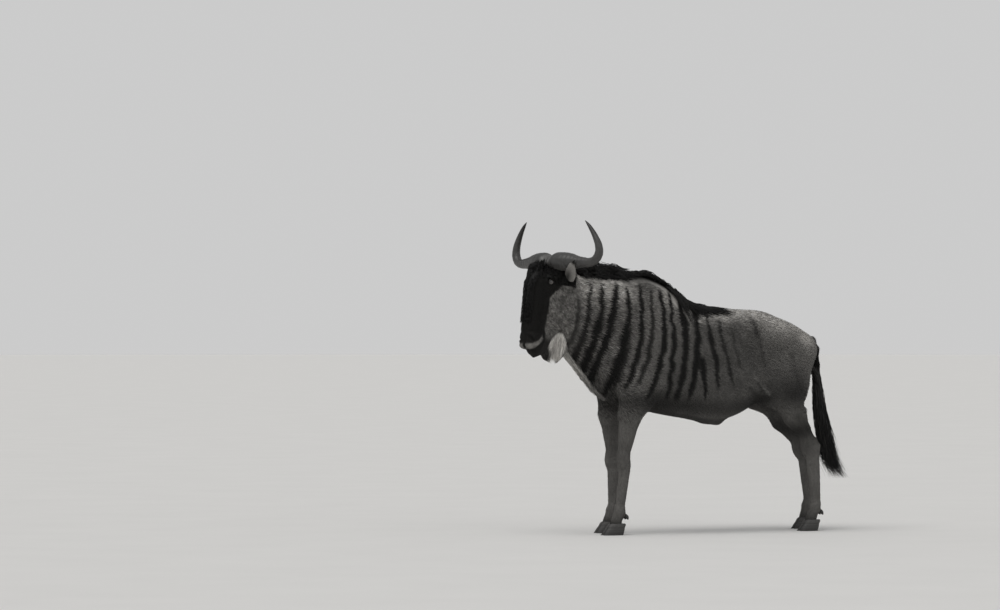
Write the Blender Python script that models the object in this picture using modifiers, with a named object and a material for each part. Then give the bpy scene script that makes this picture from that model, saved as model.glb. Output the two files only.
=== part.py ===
"""Blue wildebeest bull, life size, standing: a still museum-style model.

Frame: metres, +Z up, the animal faces -Y and its left side is +X, the origin is on the
floor under the middle of the whole figure. The body is one rounded form, blended from named
masses, and is then parted with thin plane cuts into the parts a person would name.
"""

import math

import bmesh
import bpy
import numpy as np
from mathutils import Matrix, Vector

# ---------------------------------------------------------------- driving dimensions
# Points of the body are (Y, Z) or (X, Y, Z) in metres, in the body frame that SHIFT moves.
GAP = 0.0003  # thin cut between neighbouring parts

# Back line, from the base of the neck to the root of the tail.
CREST = (-0.62, 1.300)
CREST_BASE = (-0.47, 1.312)
WITHERS = (-0.345, 1.318)
BEHIND_WITHERS = (-0.19, 1.250)
SADDLE = (-0.06, 1.170)
BACK = (0.06, 1.150)
LOIN = (0.22, 1.151)
CROUP = (0.38, 1.133)
RUMP = (0.52, 1.058)
DOCK = (0.625, 0.990)

# Under line, from the point of the chest to between the thighs.
CHEST_POINT = (-0.62, 0.770)
BRISKET = (-0.50, 0.668)
STERNUM = (-0.33, 0.628)
GIRTH = (-0.12, 0.590)
NAVEL = (0.06, 0.568)
FLANK = (0.22, 0.614)
GROIN = (0.345, 0.700)
PERINEUM = (0.52, 0.800)
SEAT = (0.625, 0.880)

# Half widths of the trunk at (Y, half width), and how much the top is narrower.
TRUNK_WIDTH = ((-0.62, 0.110), (-0.50, 0.150), (-0.33, 0.186), (-0.12, 0.218),
               (0.06, 0.232), (0.22, 0.220), (0.36, 0.190), (0.52, 0.135), (0.625, 0.070))
TRUNK_PEAK = ((-0.62, 0.30), (-0.33, 0.46), (-0.12, 0.34), (0.06, 0.20), (0.36, 0.06), (0.625, 0.0))

# Head frame: the root is between the horn bosses, at the front.
HEAD_ROOT = (0.050, -0.908, 1.386)
HEAD_YAW = math.radians(16.0)  # turned to the animal's left
HEAD_PITCH = math.radians(19.0)  # nose carried out in front of the brow
HEAD_ROLL = math.radians(0.6)  # right side lower

# Outline of the head along the face: (distance down the face, front, back, half width).
POLL_SECTION = (-0.015, -0.030, -0.150, 0.064)
BROW_TOP_SECTION = (0.048, 0.018, -0.172, 0.078)
BROW_SECTION = (0.110, 0.067, -0.190, 0.077)
CHEEK_SECTION = (0.172, 0.073, -0.198, 0.066)
JAW_SECTION = (0.230, 0.064, -0.200, 0.058)
BRIDGE_SECTION = (0.288, 0.052, -0.190, 0.051)
LIP_SECTION = (0.350, 0.036, -0.166, 0.046)
NOSTRIL_SECTION = (0.402, 0.018, -0.138, 0.046)
MUZZLE_SECTION = (0.438, -0.006, -0.116, 0.046)
CHIN_SECTION = (0.464, -0.040, -0.098, 0.032)

EYE_RADIUS = 0.0215
EYE_AT = (0.0705, 0.004, 0.108)  # across, forward, down the face

# Horns: (across, forward, up) from the head's root, and the half height and half depth.
HORN_STATIONS = (
    ((0.003, -0.038, 0.002), 0.026, 0.036),
    ((0.011, -0.037, 0.002), 0.040, 0.050),
    ((0.040, -0.039, 0.002), 0.0470, 0.056),
    ((0.078, -0.044, 0.003), 0.0475, 0.055),
    ((0.125, -0.052, 0.003), 0.042, 0.049),
    ((0.170, -0.054, -0.001), 0.033, 0.038),
    ((0.217, -0.058, -0.003), 0.026, 0.029),
    ((0.262, -0.064, -0.003), 0.0225, 0.0245),
    ((0.296, -0.071, 0.013), 0.0215, 0.0225),
    ((0.312, -0.076, 0.044), 0.0210, 0.0215),
    ((0.308, -0.077, 0.082), 0.0185, 0.0190),
    ((0.289, -0.075, 0.122), 0.0150, 0.0155),
    ((0.264, -0.072, 0.160), 0.0110, 0.0115),
    ((0.239, -0.069, 0.190), 0.0068, 0.0072),
    ((0.221, -0.067, 0.2075), 0.0016, 0.0016),
)
HORN_SIDES = 10

# Leg joints: the left legs, and the right ones where they stand differently.
FORE_LEFT = dict(side=1, shoulder=(0.160, -0.560, 0.860), elbow=(0.150, -0.445, 0.700),
                 forearm=(0.143, -0.478, 0.610), knee=(0.124, -0.505, 0.375),
                 fetlock=(0.114, -0.524, 0.118), foot=(0.114, -0.556, 0.0))
FORE_RIGHT = dict(side=-1, shoulder=(0.160, -0.550, 0.860), elbow=(0.150, -0.425, 0.700),
                  forearm=(0.143, -0.446, 0.610), knee=(0.126, -0.444, 0.378),
                  fetlock=(0.116, -0.448, 0.118), foot=(0.116, -0.480, 0.0))
HIND_LEFT = dict(side=1, hip=(0.128, 0.415, 0.935), stifle=(0.158, 0.315, 0.745),
                 gaskin=(0.132, 0.475, 0.590), hock=(0.119, 0.578, 0.437),
                 fetlock=(0.116, 0.610, 0.122), foot=(0.116, 0.578, 0.0))
HIND_RIGHT = dict(side=-1, hip=(0.128, 0.430, 0.930), stifle=(0.158, 0.375, 0.725),
                  gaskin=(0.132, 0.545, 0.570), hock=(0.121, 0.664, 0.424),
                  fetlock=(0.120, 0.704, 0.122), foot=(0.120, 0.674, 0.0))
CORONET = 0.060  # height at which the leg ends and the hoof begins
HOOF_LENGTH_FORE = 0.108
HOOF_LENGTH_HIND = 0.100
HOOF_WIDTH = 0.080

# Tail: dock from the rump, then the long tuft.
TAIL_LINE = ((0.0, 0.600, 0.970), (0.0, 0.652, 0.984), (0.0, 0.679, 0.940),
             (0.0, 0.686, 0.860), (0.0, 0.684, 0.770), (0.0, 0.690, 0.690))
TAIL_RADII = (0.030, 0.026, 0.023, 0.020, 0.018, 0.012)

# Ears: root, tip and the way the cup faces, in (across, forward, up) from the head's root; the right
# ear is laid back.
EAR_ROOT = (0.076, -0.072, -0.096)
EAR_LEFT = ((0.206, -0.006, 0.008), (0.45, 0.80, 0.0))
EAR_RIGHT = ((0.158, -0.176, -0.030), (0.85, 0.10, -0.30))
EAR_WIDTH = 0.056

BODY_TRIANGLES = 3200
SHIFT = (-0.02874, 0.10415, 0.0)  # brings the whole figure's box over the origin


# ---------------------------------------------------------------- field of the rounded form
def smin(a, b, k):
    h = np.clip(0.5 + 0.5 * (b - a) / k, 0.0, 1.0)
    return b + (a - b) * h - k * h * (1.0 - h)


def smax(a, b, k):
    return -smin(-a, -b, k)


def curve(points):
    """Smooth curve through (x, y, ...) stations, as a function of x."""
    table = np.array(points, float)
    x, y = table[:, 0], table[:, 1:]
    slope = np.zeros_like(y)
    step = np.diff(x)[:, None]
    rise = np.diff(y, axis=0) / step
    slope[1:-1] = (rise[:-1] * step[1:] + rise[1:] * step[:-1]) / (step[1:] + step[:-1])
    slope[0], slope[-1] = rise[0], rise[-1]

    def at(q):
        q = np.clip(q, x[0], x[-1])
        i = np.clip(np.searchsorted(x, q) - 1, 0, len(x) - 2)
        h = (x[i + 1] - x[i])[:, None]
        u = (q - x[i])[:, None] / h
        return ((1 + 2 * u) * (1 - u) ** 2 * y[i] + u * (1 - u) ** 2 * h * slope[i]
                + u * u * (3 - 2 * u) * y[i + 1] + u * u * (u - 1) * h * slope[i + 1])

    return at


def egg(p, centre, radii):
    """Distance to an ellipsoid."""
    q = p - np.array(centre)
    r = np.array(radii)
    a = np.sqrt(((q / r) ** 2).sum(1)) + 1e-9
    b = np.sqrt(((q / r**2) ** 2).sum(1)) + 1e-9
    return a * (a - 1.0) / b


def limb(p, a, ra, b, rb, flat=1.0, across=(1.0, 0.0, 0.0), belly=0.0):
    """Distance to a tapered bar with round ends, flattened across by a factor."""
    a, b, n = np.array(a, float), np.array(b, float), np.array(across, float)
    if flat != 1.0:
        grow = 1.0 / flat - 1.0
        p = p + ((p - a) @ n * grow)[:, None] * n
        b = b + (b - a) @ n * grow * n
    ab = b - a
    u = np.clip((p - a) @ ab / (ab @ ab), 0.0, 1.0)
    r = ra + (rb - ra) * u + belly * np.sin(np.pi * u)
    return (np.sqrt(((p - a - u[:, None] * ab) ** 2).sum(1)) - r) * min(1.0, 0.5 + 0.5 * flat)


top_line = curve((CREST, CREST_BASE, WITHERS, BEHIND_WITHERS, SADDLE, BACK, LOIN, CROUP, RUMP, DOCK))
under_line = curve((CHEST_POINT, BRISKET, STERNUM, GIRTH, NAVEL, FLANK, GROIN, PERINEUM, SEAT))
trunk_width = curve(TRUNK_WIDTH)
trunk_peak = curve(TRUNK_PEAK)
head_sections = curve((POLL_SECTION, BROW_TOP_SECTION, BROW_SECTION, CHEEK_SECTION, JAW_SECTION,
                       BRIDGE_SECTION, LIP_SECTION, NOSTRIL_SECTION, MUZZLE_SECTION, CHIN_SECTION))


def trunk_field(p):
    y = np.clip(p[:, 1], CREST[0], DOCK[0])
    top, low = top_line(y)[:, 0], under_line(y)[:, 0]
    width, peak = trunk_width(y)[:, 0], trunk_peak(y)[:, 0]
    half, mid = (top - low) / 2, (top + low) / 2
    across, up = p[:, 0], p[:, 2] - mid
    z = up / half
    w = width * (1.0 - peak * np.clip(z, -0.6, 1.2))
    q = np.abs(z)
    rho = np.sqrt((across / w) ** 2 + q**2.3) + 1e-6
    out = np.hypot(across, up) * (1.0 - 1.0 / rho)
    beyond = np.abs(p[:, 1] - y)
    return np.where(beyond > 0, np.hypot(np.maximum(out, 0), beyond) + np.minimum(out, 0), out) + 0.35 * beyond


def neck_field(p):
    d = limb(p, (0.0, -0.40, 1.008), 0.288, (0.004, -0.550, 1.050), 0.242, flat=0.58)
    d = smin(d, limb(p, (0.004, -0.550, 1.050), 0.240, (0.022, -0.690, 1.130), 0.178, flat=0.64), 0.06)
    d = smin(d, limb(p, (0.022, -0.690, 1.130), 0.178, (0.034, -0.800, 1.215), 0.128, flat=0.70), 0.05)
    # crest and the gullet line
    d = smin(d, limb(p, (0.0, -0.42, 1.250), 0.055, (0.018, -0.765, 1.262), 0.055, flat=0.9), 0.07)
    d = smin(d, limb(p, (0.030, -0.715, 1.010), 0.060, (0.0, -0.545, 0.800), 0.092, flat=0.85), 0.08)
    return d


def fore_field(p, leg):
    s = leg["side"]
    q = p * np.array([s, 1.0, 1.0])
    sh, el, fo, kn, fe, ft = (np.array(leg[n]) for n in ("shoulder", "elbow", "forearm", "knee", "fetlock", "foot"))
    d = limb(q, (0.072, -0.315, 1.165), 0.090, sh + (-0.052, 0.052, 0.015), 0.106, flat=0.60)
    d = smin(d, limb(q, (0.118, -0.350, 0.985), 0.105, el + (-0.012, 0.03, 0.02), 0.080, flat=0.62), 0.05)
    d = smin(d, limb(q, sh + (-0.040, 0.034, 0.0), 0.074, el + (-0.006, 0.0, 0.0), 0.070, flat=0.72), 0.08)
    d = smin(d, limb(q, el + (-0.002, -0.005, 0.0), 0.076, fo, 0.060, flat=0.74), 0.04)
    d = smin(d, limb(q, fo, 0.0600, kn + (0.0, 0.002, 0.050), 0.0375, flat=0.80, belly=0.001), 0.03)
    d = smin(d, egg(q, kn + (0.0, -0.003, 0.0), (0.0350, 0.0395, 0.0540)), 0.020)
    d = smin(d, limb(q, kn + (0.0, 0.004, -0.030), 0.0320, fe + (0.0, 0.0, 0.030), 0.0245, flat=0.84), 0.020)
    d = smin(d, limb(q, kn + (0.0, 0.020, -0.050), 0.0150, fe + (0.0, 0.016, 0.020), 0.0140), 0.012)
    d = smin(d, egg(q, fe, (0.0300, 0.0330, 0.0340)), 0.016)
    coronet = ft + (0.0, 0.010, CORONET)
    d = smin(d, limb(q, fe + (0.0, -0.004, -0.008), 0.0280, coronet, 0.0315, flat=1.08), 0.016)
    return smin(d, egg(q, fe + (0.0, 0.028, -0.022), (0.022, 0.013, 0.014)), 0.010)


def hind_field(p, leg):
    s = leg["side"]
    q = p * np.array([s, 1.0, 1.0])
    hip, st, ga, ho, fe, ft = (np.array(leg[n]) for n in ("hip", "stifle", "gaskin", "hock", "fetlock", "foot"))
    d = limb(q, (0.140, 0.240, 1.030), 0.052, (0.092, 0.560, 0.945), 0.062, flat=0.8)
    d = smin(d, limb(q, hip + (-0.028, -0.005, -0.01), 0.160, st + (-0.032, 0.040, 0.01), 0.114, flat=0.62), 0.08)
    d = smin(d, limb(q, (0.084, 0.530, 0.920), 0.082, (0.100, 0.505, 0.720), 0.068, flat=0.80), 0.06)
    d = smin(d, egg(q, st + (-0.008, -0.004, 0.004), (0.048, 0.056, 0.070)), 0.06)
    d = smin(d, limb(q, st + (-0.026, 0.092, 0.005), 0.100, ga + (0.0, 0.006, 0.010), 0.062, flat=0.68), 0.05)
    d = smin(d, limb(q, ga + (0.0, 0.012, 0.0), 0.0570, ho + (0.0, -0.008, 0.028), 0.0390, flat=0.72), 0.03)
    d = smin(d, limb(q, ga + (0.0, 0.068, 0.030), 0.0220, ho + (0.0, 0.044, 0.024), 0.0190, flat=0.85), 0.022)
    d = smin(d, egg(q, ho + (0.0, -0.006, 0.0), (0.0330, 0.0480, 0.0560)), 0.025)
    d = smin(d, egg(q, ho + (0.0, 0.040, 0.016), (0.0200, 0.0225, 0.0290)), 0.020)
    d = smin(d, limb(q, ho + (0.0, 0.014, -0.020), 0.0380, fe + (0.0, 0.0, 0.035), 0.0265, flat=0.80), 0.025)
    d = smin(d, limb(q, ho + (0.0, 0.034, -0.012), 0.0190, fe + (0.0, 0.018, 0.025), 0.0145), 0.024)
    d = smin(d, egg(q, fe, (0.0310, 0.0350, 0.0360)), 0.018)
    coronet = ft + (0.0, 0.010, CORONET)
    d = smin(d, limb(q, fe + (0.0, -0.004, -0.008), 0.0290, coronet, 0.0310, flat=1.06), 0.016)
    return smin(d, egg(q, fe + (0.0, 0.030, -0.022), (0.022, 0.013, 0.014)), 0.010)


def head_axes():
    """Columns: across (to the animal's left), forward off the face, down the face, in the body frame."""
    forward = Vector((math.sin(HEAD_YAW), -math.cos(HEAD_YAW), 0.0))
    left = Vector((math.cos(HEAD_YAW), math.sin(HEAD_YAW), 0.0))
    roll = Matrix.Rotation(HEAD_ROLL, 3, forward)
    left = roll @ left
    up = roll @ Vector((0.0, 0.0, 1.0))
    t = forward * math.cos(HEAD_PITCH) + up * math.sin(HEAD_PITCH)
    s = forward * math.sin(HEAD_PITCH) - up * math.cos(HEAD_PITCH)
    return np.array([left, t, s]).T, np.array([left, forward, up]).T


FACE_AXES, SKULL_AXES = head_axes()


def from_face(q):
    return np.array(HEAD_ROOT) + np.asarray(q, float) @ FACE_AXES.T


def from_skull(q):
    return np.array(HEAD_ROOT) + np.asarray(q, float) @ SKULL_AXES.T


def head_field(p):
    q = (p - np.array(HEAD_ROOT)) @ FACE_AXES
    a, t, s = q.T
    q = np.stack([np.abs(a), t, s], 1)
    a = q[:, 0]
    sc = np.clip(s, POLL_SECTION[0], CHIN_SECTION[0])
    front, back, width = head_sections(sc).T
    half, mid = (front - back) / 2, (front + back) / 2
    z = (t - mid) / half
    w = width * (1.0 - 0.10 * np.clip(z, -1.2, 1.2) - 0.10 * np.clip(-z - 0.2, 0, 1.2))
    rho = ((a / w) ** 2.5 + np.abs(z) ** 2.5) ** 0.4 + 1e-6
    d = np.hypot(a, t - mid) * (1.0 - 1.0 / rho)
    beyond = np.abs(s - sc)
    d = np.where(beyond > 0, np.hypot(np.maximum(d, 0), beyond) + np.minimum(d, 0), d) + 0.3 * beyond
    d = smin(d, egg(q, (0.030, -0.080, 0.022), (0.055, 0.064, 0.046)), 0.025)  # crown
    d = smin(d, egg(q, (0.0, 0.000, 0.118), (0.070, 0.070, 0.074)), 0.025)  # forehead
    d = smin(d, limb(q, (0.0, 0.022, 0.145), 0.050, (0.0, 0.002, 0.355), 0.041, flat=1.1), 0.03)  # bridge
    d = smin(d, egg(q, (0.060, 0.002, 0.107), (0.0255, 0.0340, 0.0360)), 0.018)  # orbit
    d = smin(d, limb(q, (0.060, 0.018, 0.083), 0.015, (0.071, -0.016, 0.078), 0.013), 0.012)  # brow
    d = smin(d, limb(q, (0.068, -0.024, 0.132), 0.015, (0.074, -0.104, 0.105), 0.017), 0.02)  # cheek bone
    d = smin(d, egg(q, (0.040, -0.125, 0.200), (0.042, 0.068, 0.088)), 0.04)  # jaw muscle
    d = smin(d, egg(q, (0.026, -0.034, 0.402), (0.0290, 0.0500, 0.0420)), 0.016)  # muzzle
    d = smin(d, egg(q, (0.033, -0.002, 0.400), (0.0180, 0.0250, 0.0280)), 0.010)  # nostril wing
    d = smin(d, egg(q, (0.020, -0.012, 0.440), (0.0310, 0.0270, 0.0195)), 0.012)  # upper lip
    d = smin(d, egg(q, (0.008, -0.060, 0.452), (0.0280, 0.0310, 0.0230)), 0.012)  # chin
    d = smax(d, -egg(q, (0.0400, 0.020, 0.404), (0.0090, 0.0110, 0.0140)), 0.008)  # nostril
    return d


def body_field(p):
    """Everything of flesh in one rounded form: below zero inside."""
    d = smin(trunk_field(p), neck_field(p), 0.07)
    for leg in (FORE_LEFT, FORE_RIGHT):
        d = smin(d, fore_field(p, leg), 0.045)
    for leg in (HIND_LEFT, HIND_RIGHT):
        d = smin(d, hind_field(p, leg), 0.050)
    d = smin(d, limb(p, (0.0, 0.030, 0.600), 0.034, (0.0, 0.098, 0.578), 0.027), 0.05)  # sheath
    for a, b, ra, rb in zip(TAIL_LINE, TAIL_LINE[1:], TAIL_RADII, TAIL_RADII[1:]):
        d = smin(d, limb(p, a, ra, b, rb), 0.020)
    near = p[:, 1] < -0.62
    if near.any():
        d[near] = smin(d[near], head_field(p[near]), 0.045)
    return d


def settle(points, field, steps=5, reach=0.02):
    """Moves points onto the zero surface of a field."""
    points = points.copy()
    e = 0.0008
    for _ in range(steps):
        f = field(points)
        g = np.stack([field(points + e * axis) - f for axis in np.eye(3)], 1) / e
        move = -f[:, None] * g / np.maximum((g * g).sum(1), 0.05)[:, None]
        size = np.sqrt((move**2).sum(1))[:, None]
        points += move * np.minimum(1.0, reach / np.maximum(size, 1e-9))
    return points


# ---------------------------------------------------------------- Blender helpers
def clear():
    for obj in list(bpy.data.objects):
        bpy.data.objects.remove(obj, do_unlink=True)
    for mesh in list(bpy.data.meshes):
        bpy.data.meshes.remove(mesh)


def collection(name, helper=False):
    found = bpy.data.collections.new(name)
    bpy.context.scene.collection.children.link(found)
    found.hide_render = helper
    return found


def material(name, colour, roughness, metallic=0.0):
    mat = bpy.data.materials.new(name)
    mat.use_nodes = True
    shader = mat.node_tree.nodes["Principled BSDF"]
    shader.inputs["Base Color"].default_value = (*colour, 1.0)
    shader.inputs["Roughness"].default_value = roughness
    shader.inputs["Metallic"].default_value = metallic
    return mat


def add(name, bm, home):
    mesh = bpy.data.meshes.new(name)
    bmesh.ops.recalc_face_normals(bm, faces=bm.faces)
    bm.to_mesh(mesh)
    bm.free()
    obj = bpy.data.objects.new(name, mesh)
    home.objects.link(obj)
    return obj


def baked(obj):
    """The object's modifiers made part of its mesh."""
    bpy.context.view_layer.update()
    graph = bpy.context.evaluated_depsgraph_get()
    mesh = bpy.data.meshes.new_from_object(obj.evaluated_get(graph))
    old = obj.data
    obj.modifiers.clear()
    obj.data = mesh
    bpy.data.meshes.remove(old)
    return obj


def ball(bm, centre, radius, scale=(1, 1, 1), u=20, v=12):
    made = bmesh.ops.create_uvsphere(bm, u_segments=u, v_segments=v, radius=radius)
    bmesh.ops.scale(bm, vec=scale, verts=made["verts"])
    bmesh.ops.translate(bm, vec=centre, verts=made["verts"])


def rod(balls, a, ra, b, rb):
    """Balls along a line, close enough to overlap well: (centre, radii)."""
    a, b = Vector(a), Vector(b)
    n = max(2, int((b - a).length / (0.6 * min(ra, rb))) + 1)
    for i in range(n):
        u = i / (n - 1)
        balls.append((a.lerp(b, u), (ra + (rb - ra) * u,) * 3))


def heap(name, balls, home):
    """One mesh of overlapping balls, all copies of a single icosphere."""
    bm = bmesh.new()
    bmesh.ops.create_icosphere(bm, subdivisions=2, radius=1.0)
    unit = np.array([v.co for v in bm.verts])
    faces = np.array([[v.index for v in f.verts] for f in bm.faces])
    bm.free()
    points = np.concatenate([unit * np.array(radii) + np.array(centre) for centre, radii in balls])
    turns = np.concatenate([faces + len(unit) * i for i in range(len(balls))])
    mesh = bpy.data.meshes.new(name)
    mesh.from_pydata(points.tolist(), [], turns.tolist())
    obj = bpy.data.objects.new(name, mesh)
    home.objects.link(obj)
    return obj


def remeshed(obj, voxel):
    mod = obj.modifiers.new("skin", "REMESH")
    mod.mode = "VOXEL"
    mod.voxel_size = voxel
    mod.adaptivity = 0.0
    return baked(obj)


def points_of(mesh):
    co = np.empty(len(mesh.vertices) * 3, np.float32)
    mesh.vertices.foreach_get("co", co)
    return co.reshape(-1, 3).astype(float)


def set_points(mesh, points):
    mesh.vertices.foreach_set("co", points.astype(np.float32).ravel())
    mesh.update()


def relax(mesh, rounds):
    bm = bmesh.new()
    bm.from_mesh(mesh)
    for _ in range(rounds):
        bmesh.ops.smooth_vert(bm, verts=bm.verts, factor=0.5, use_axis_x=True, use_axis_y=True, use_axis_z=True)
    bm.to_mesh(mesh)
    bm.free()


def rounded(name, rough, field, voxel, home):
    """A closed mesh on the field's surface, grown from a rough union of balls."""
    obj = remeshed(heap(name, rough, home), voxel)
    for rounds, steps in ((2, 5), (2, 4)):
        relax(obj.data, rounds)
        set_points(obj.data, settle(points_of(obj.data), field, steps))
        obj = remeshed(obj, voxel)
    relax(obj.data, 1)
    set_points(obj.data, settle(points_of(obj.data), field, 4))
    return obj


def thinned(obj, triangles):
    obj.data.calc_loop_triangles()
    mod = obj.modifiers.new("thin", "DECIMATE")
    mod.decimate_type = "COLLAPSE"
    mod.ratio = min(1.0, triangles / len(obj.data.loop_triangles))
    mod.use_collapse_triangulate = True
    return baked(obj)


def wedge(name, planes, home, size=4.0):
    """A big box with every side of the given planes cut away: keeps where (p - point) . normal > 0."""
    bm = bmesh.new()
    bmesh.ops.create_cube(bm, size=size)
    for point, normal in planes:
        normal = Vector(normal).normalized()
        bmesh.ops.bisect_plane(bm, geom=bm.verts[:] + bm.edges[:] + bm.faces[:], plane_co=Vector(point),
                               plane_no=normal, clear_inner=True, dist=1e-7)
        edges = [e for e in bm.edges if e.is_boundary]
        bmesh.ops.holes_fill(bm, edges=edges)
    bmesh.ops.triangulate(bm, faces=bm.faces)
    obj = add(name, bm, home)
    obj.hide_render = True
    obj.display_type = "WIRE"
    return obj


def boolean(obj, other, operation):
    mod = obj.modifiers.new(operation.lower(), "BOOLEAN")
    mod.operation = operation
    mod.solver = "EXACT"
    mod.object = other


def duplicate(obj, name, home):
    new = bpy.data.objects.new(name, obj.data.copy())
    home.objects.link(new)
    return new


def widened(obj, name, by, home):
    """A copy of a closed mesh, pushed out along its normals."""
    new = duplicate(obj, name, home)
    mesh = new.data
    normals = np.empty(len(mesh.vertices) * 3, np.float32)
    mesh.vertices.foreach_get("normal", normals)
    set_points(mesh, points_of(mesh) + by * normals.reshape(-1, 3))
    new.hide_render = True
    new.display_type = "WIRE"
    return new


def largest(obj):
    """Keeps the biggest closed piece: thin cuts can shed crumbs."""
    bm = bmesh.new()
    bm.from_mesh(obj.data)
    left, best = set(bm.verts), set()
    while left:
        seen, stack = set(), [next(iter(left))]
        while stack:
            v = stack.pop()
            if v in seen:
                continue
            seen.add(v)
            stack.extend(e.other_vert(v) for e in v.link_edges)
        left -= seen
        best = seen if len(seen) > len(best) else best
    bmesh.ops.delete(bm, geom=[v for v in bm.verts if v not in best], context="VERTS")
    bmesh.ops.triangulate(bm, faces=bm.faces)
    bm.to_mesh(obj.data)
    bm.free()
    return obj


# ---------------------------------------------------------------- the body
def rough_body():
    """Balls along every bone, as a start for the rounded body."""
    bm = []
    for i in range(26):
        y = CREST[0] + 0.06 + (DOCK[0] - 0.05 - CREST[0]) * i / 26
        yy = np.array([y])
        top, low, width = top_line(yy)[0, 0], under_line(yy)[0, 0], trunk_width(yy)[0, 0]
        bm.append(((0, y, (top + low) / 2), (width * 0.85, 0.06, (top - low) / 2 * 0.96)))
    rod(bm, (0.0, -0.45, 1.0), 0.14, (0.03, -0.78, 1.15), 0.10)
    rod(bm, (0.0, -0.45, 1.15), 0.12, (0.02, -0.76, 1.24), 0.07)
    rod(bm, (0.0, -0.50, 0.85), 0.11, (0.03, -0.74, 1.02), 0.08)
    rod(bm, from_face((0, -0.07, 0.03)), 0.07, from_face((0, -0.05, 0.20)), 0.06)
    rod(bm, from_face((0, -0.04, 0.20)), 0.055, from_face((0, -0.035, 0.45)), 0.045)
    rod(bm, from_face((0, -0.13, 0.10)), 0.055, from_face((0, -0.13, 0.24)), 0.055)
    rod(bm, from_face((0, -0.12, 0.24)), 0.05, from_face((0, -0.07, 0.46)), 0.03)
    for leg in (FORE_LEFT, FORE_RIGHT):
        m = Vector((leg["side"], 1, 1))
        at = {n: Vector(leg[n]) * m for n in ("shoulder", "elbow", "forearm", "knee", "fetlock", "foot")}
        rod(bm, Vector((0.08, -0.33, 1.10)) * m, 0.08, at["shoulder"], 0.07)
        rod(bm, at["shoulder"], 0.07, at["elbow"], 0.055)
        rod(bm, at["elbow"], 0.055, at["forearm"], 0.048)
        rod(bm, at["forearm"], 0.046, at["knee"], 0.032)
        rod(bm, at["knee"], 0.032, at["fetlock"], 0.024)
        rod(bm, at["fetlock"], 0.026, at["foot"] + Vector((0, 0.01, CORONET)), 0.028)
    for leg in (HIND_LEFT, HIND_RIGHT):
        m = Vector((leg["side"], 1, 1))
        at = {n: Vector(leg[n]) * m for n in ("hip", "stifle", "gaskin", "hock", "fetlock", "foot")}
        rod(bm, at["hip"], 0.11, at["stifle"], 0.06)
        rod(bm, Vector((0.09, 0.53, 0.93)) * m, 0.08, Vector((0.10, 0.49, 0.70)) * m, 0.06)
        rod(bm, at["stifle"] + Vector((0, 0.06, 0)), 0.06, at["gaskin"], 0.05)
        rod(bm, at["gaskin"], 0.048, at["hock"], 0.036)
        rod(bm, at["hock"], 0.034, at["fetlock"], 0.026)
        rod(bm, at["fetlock"], 0.028, at["foot"] + Vector((0, 0.01, CORONET)), 0.028)
    for a, b, ra, rb in zip(TAIL_LINE, TAIL_LINE[1:], TAIL_RADII, TAIL_RADII[1:]):
        rod(bm, a, ra, b, rb)
    return bm


# ---------------------------------------------------------------- mane, forelock, beard and tail tuft
MANE_NECK = (((0.034, -0.800, 1.335), 0.052), ((0.022, -0.700, 1.340), 0.054), ((0.012, -0.600, 1.336), 0.052),
             ((0.006, -0.530, 1.336), 0.050), ((0.004, -0.480, 1.310), 0.044), ((0.0, -0.430, 1.302), 0.042))
MANE_WITHERS = (((0.0, -0.430, 1.302), 0.042), ((0.002, -0.345, 1.314), 0.042), ((0.004, -0.260, 1.280), 0.038),
                ((0.006, -0.170, 1.228), 0.033), ((0.008, -0.080, 1.174), 0.025), ((0.010, 0.030, 1.150), 0.014))
MANE_FALL = (((-0.290, 1.282), (-0.215, 1.200), (-0.150, 1.092)),
             ((-0.225, 1.246), (-0.150, 1.170), (-0.080, 1.084)))  # locks over the left shoulder, as (Y, Z)
FALL_RADII = (0.034, 0.032, 0.020)
FALL_DEPTH = 0.013
MANE_SIDE = (((0.058, -0.780, 1.290), 0.040), ((0.044, -0.600, 1.290), 0.040), ((0.040, -0.420, 1.276), 0.038),
             ((0.036, -0.300, 1.262), 0.034))


def beside(y, z, depth):
    """The point this far under the left flank at this place."""
    x = np.linspace(0.0, 0.26, 131)
    inside = body_field(np.stack([x, np.full_like(x, y), np.full_like(x, z)], 1)) < -depth
    return (float(x[inside].max()) if inside.any() else 0.0, y, z)


def falls():
    return [[(beside(y, z, FALL_DEPTH), r) for (y, z), r in zip(line, FALL_RADII)] for line in MANE_FALL]


def strand(p, line, **how):
    d = None
    for (a, ra), (b, rb) in zip(line, line[1:]):
        e = limb(p, a, ra, b, rb, **how)
        d = e if d is None else smin(d, e, 0.02)
    return d


FALLS = falls()


def mane_field(p):
    d = smin(strand(p, MANE_NECK), strand(p, MANE_WITHERS), 0.02)
    right = [((0.04 - x, y, z), r) for (x, y, z), r in MANE_SIDE]
    d = smin(d, smin(strand(p, MANE_SIDE), strand(p, right), 0.03), 0.03)
    for line in FALLS:
        d = smin(d, strand(p, line), 0.03)
    return d


def rough_mane():
    bm = []
    lines = [MANE_NECK, MANE_WITHERS, MANE_SIDE, [((0.04 - x, y, z), r) for (x, y, z), r in MANE_SIDE], *FALLS]
    for line in lines:
        for (a, ra), (b, rb) in zip(line, line[1:]):
            rod(bm, a, ra * 0.95, b, rb * 0.95)
    return bm


FORELOCK = (((-0.044, 0.002, -0.010), 0.028), ((-0.032, 0.026, 0.030), 0.030), ((-0.012, 0.044, 0.075), 0.027),
            ((-0.004, 0.056, 0.120), 0.022), ((0.0, 0.062, 0.165), 0.014))  # (across, forward, down the face)


def forelock_field(p):
    q = (p - np.array(HEAD_ROOT)) @ FACE_AXES
    return strand(q, FORELOCK, flat=1.3)


def rough_forelock():
    bm = []
    for (a, ra), (b, rb) in zip(FORELOCK, FORELOCK[1:]):
        rod(bm, from_face(a), ra, from_face(b), rb)
    return bm


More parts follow.
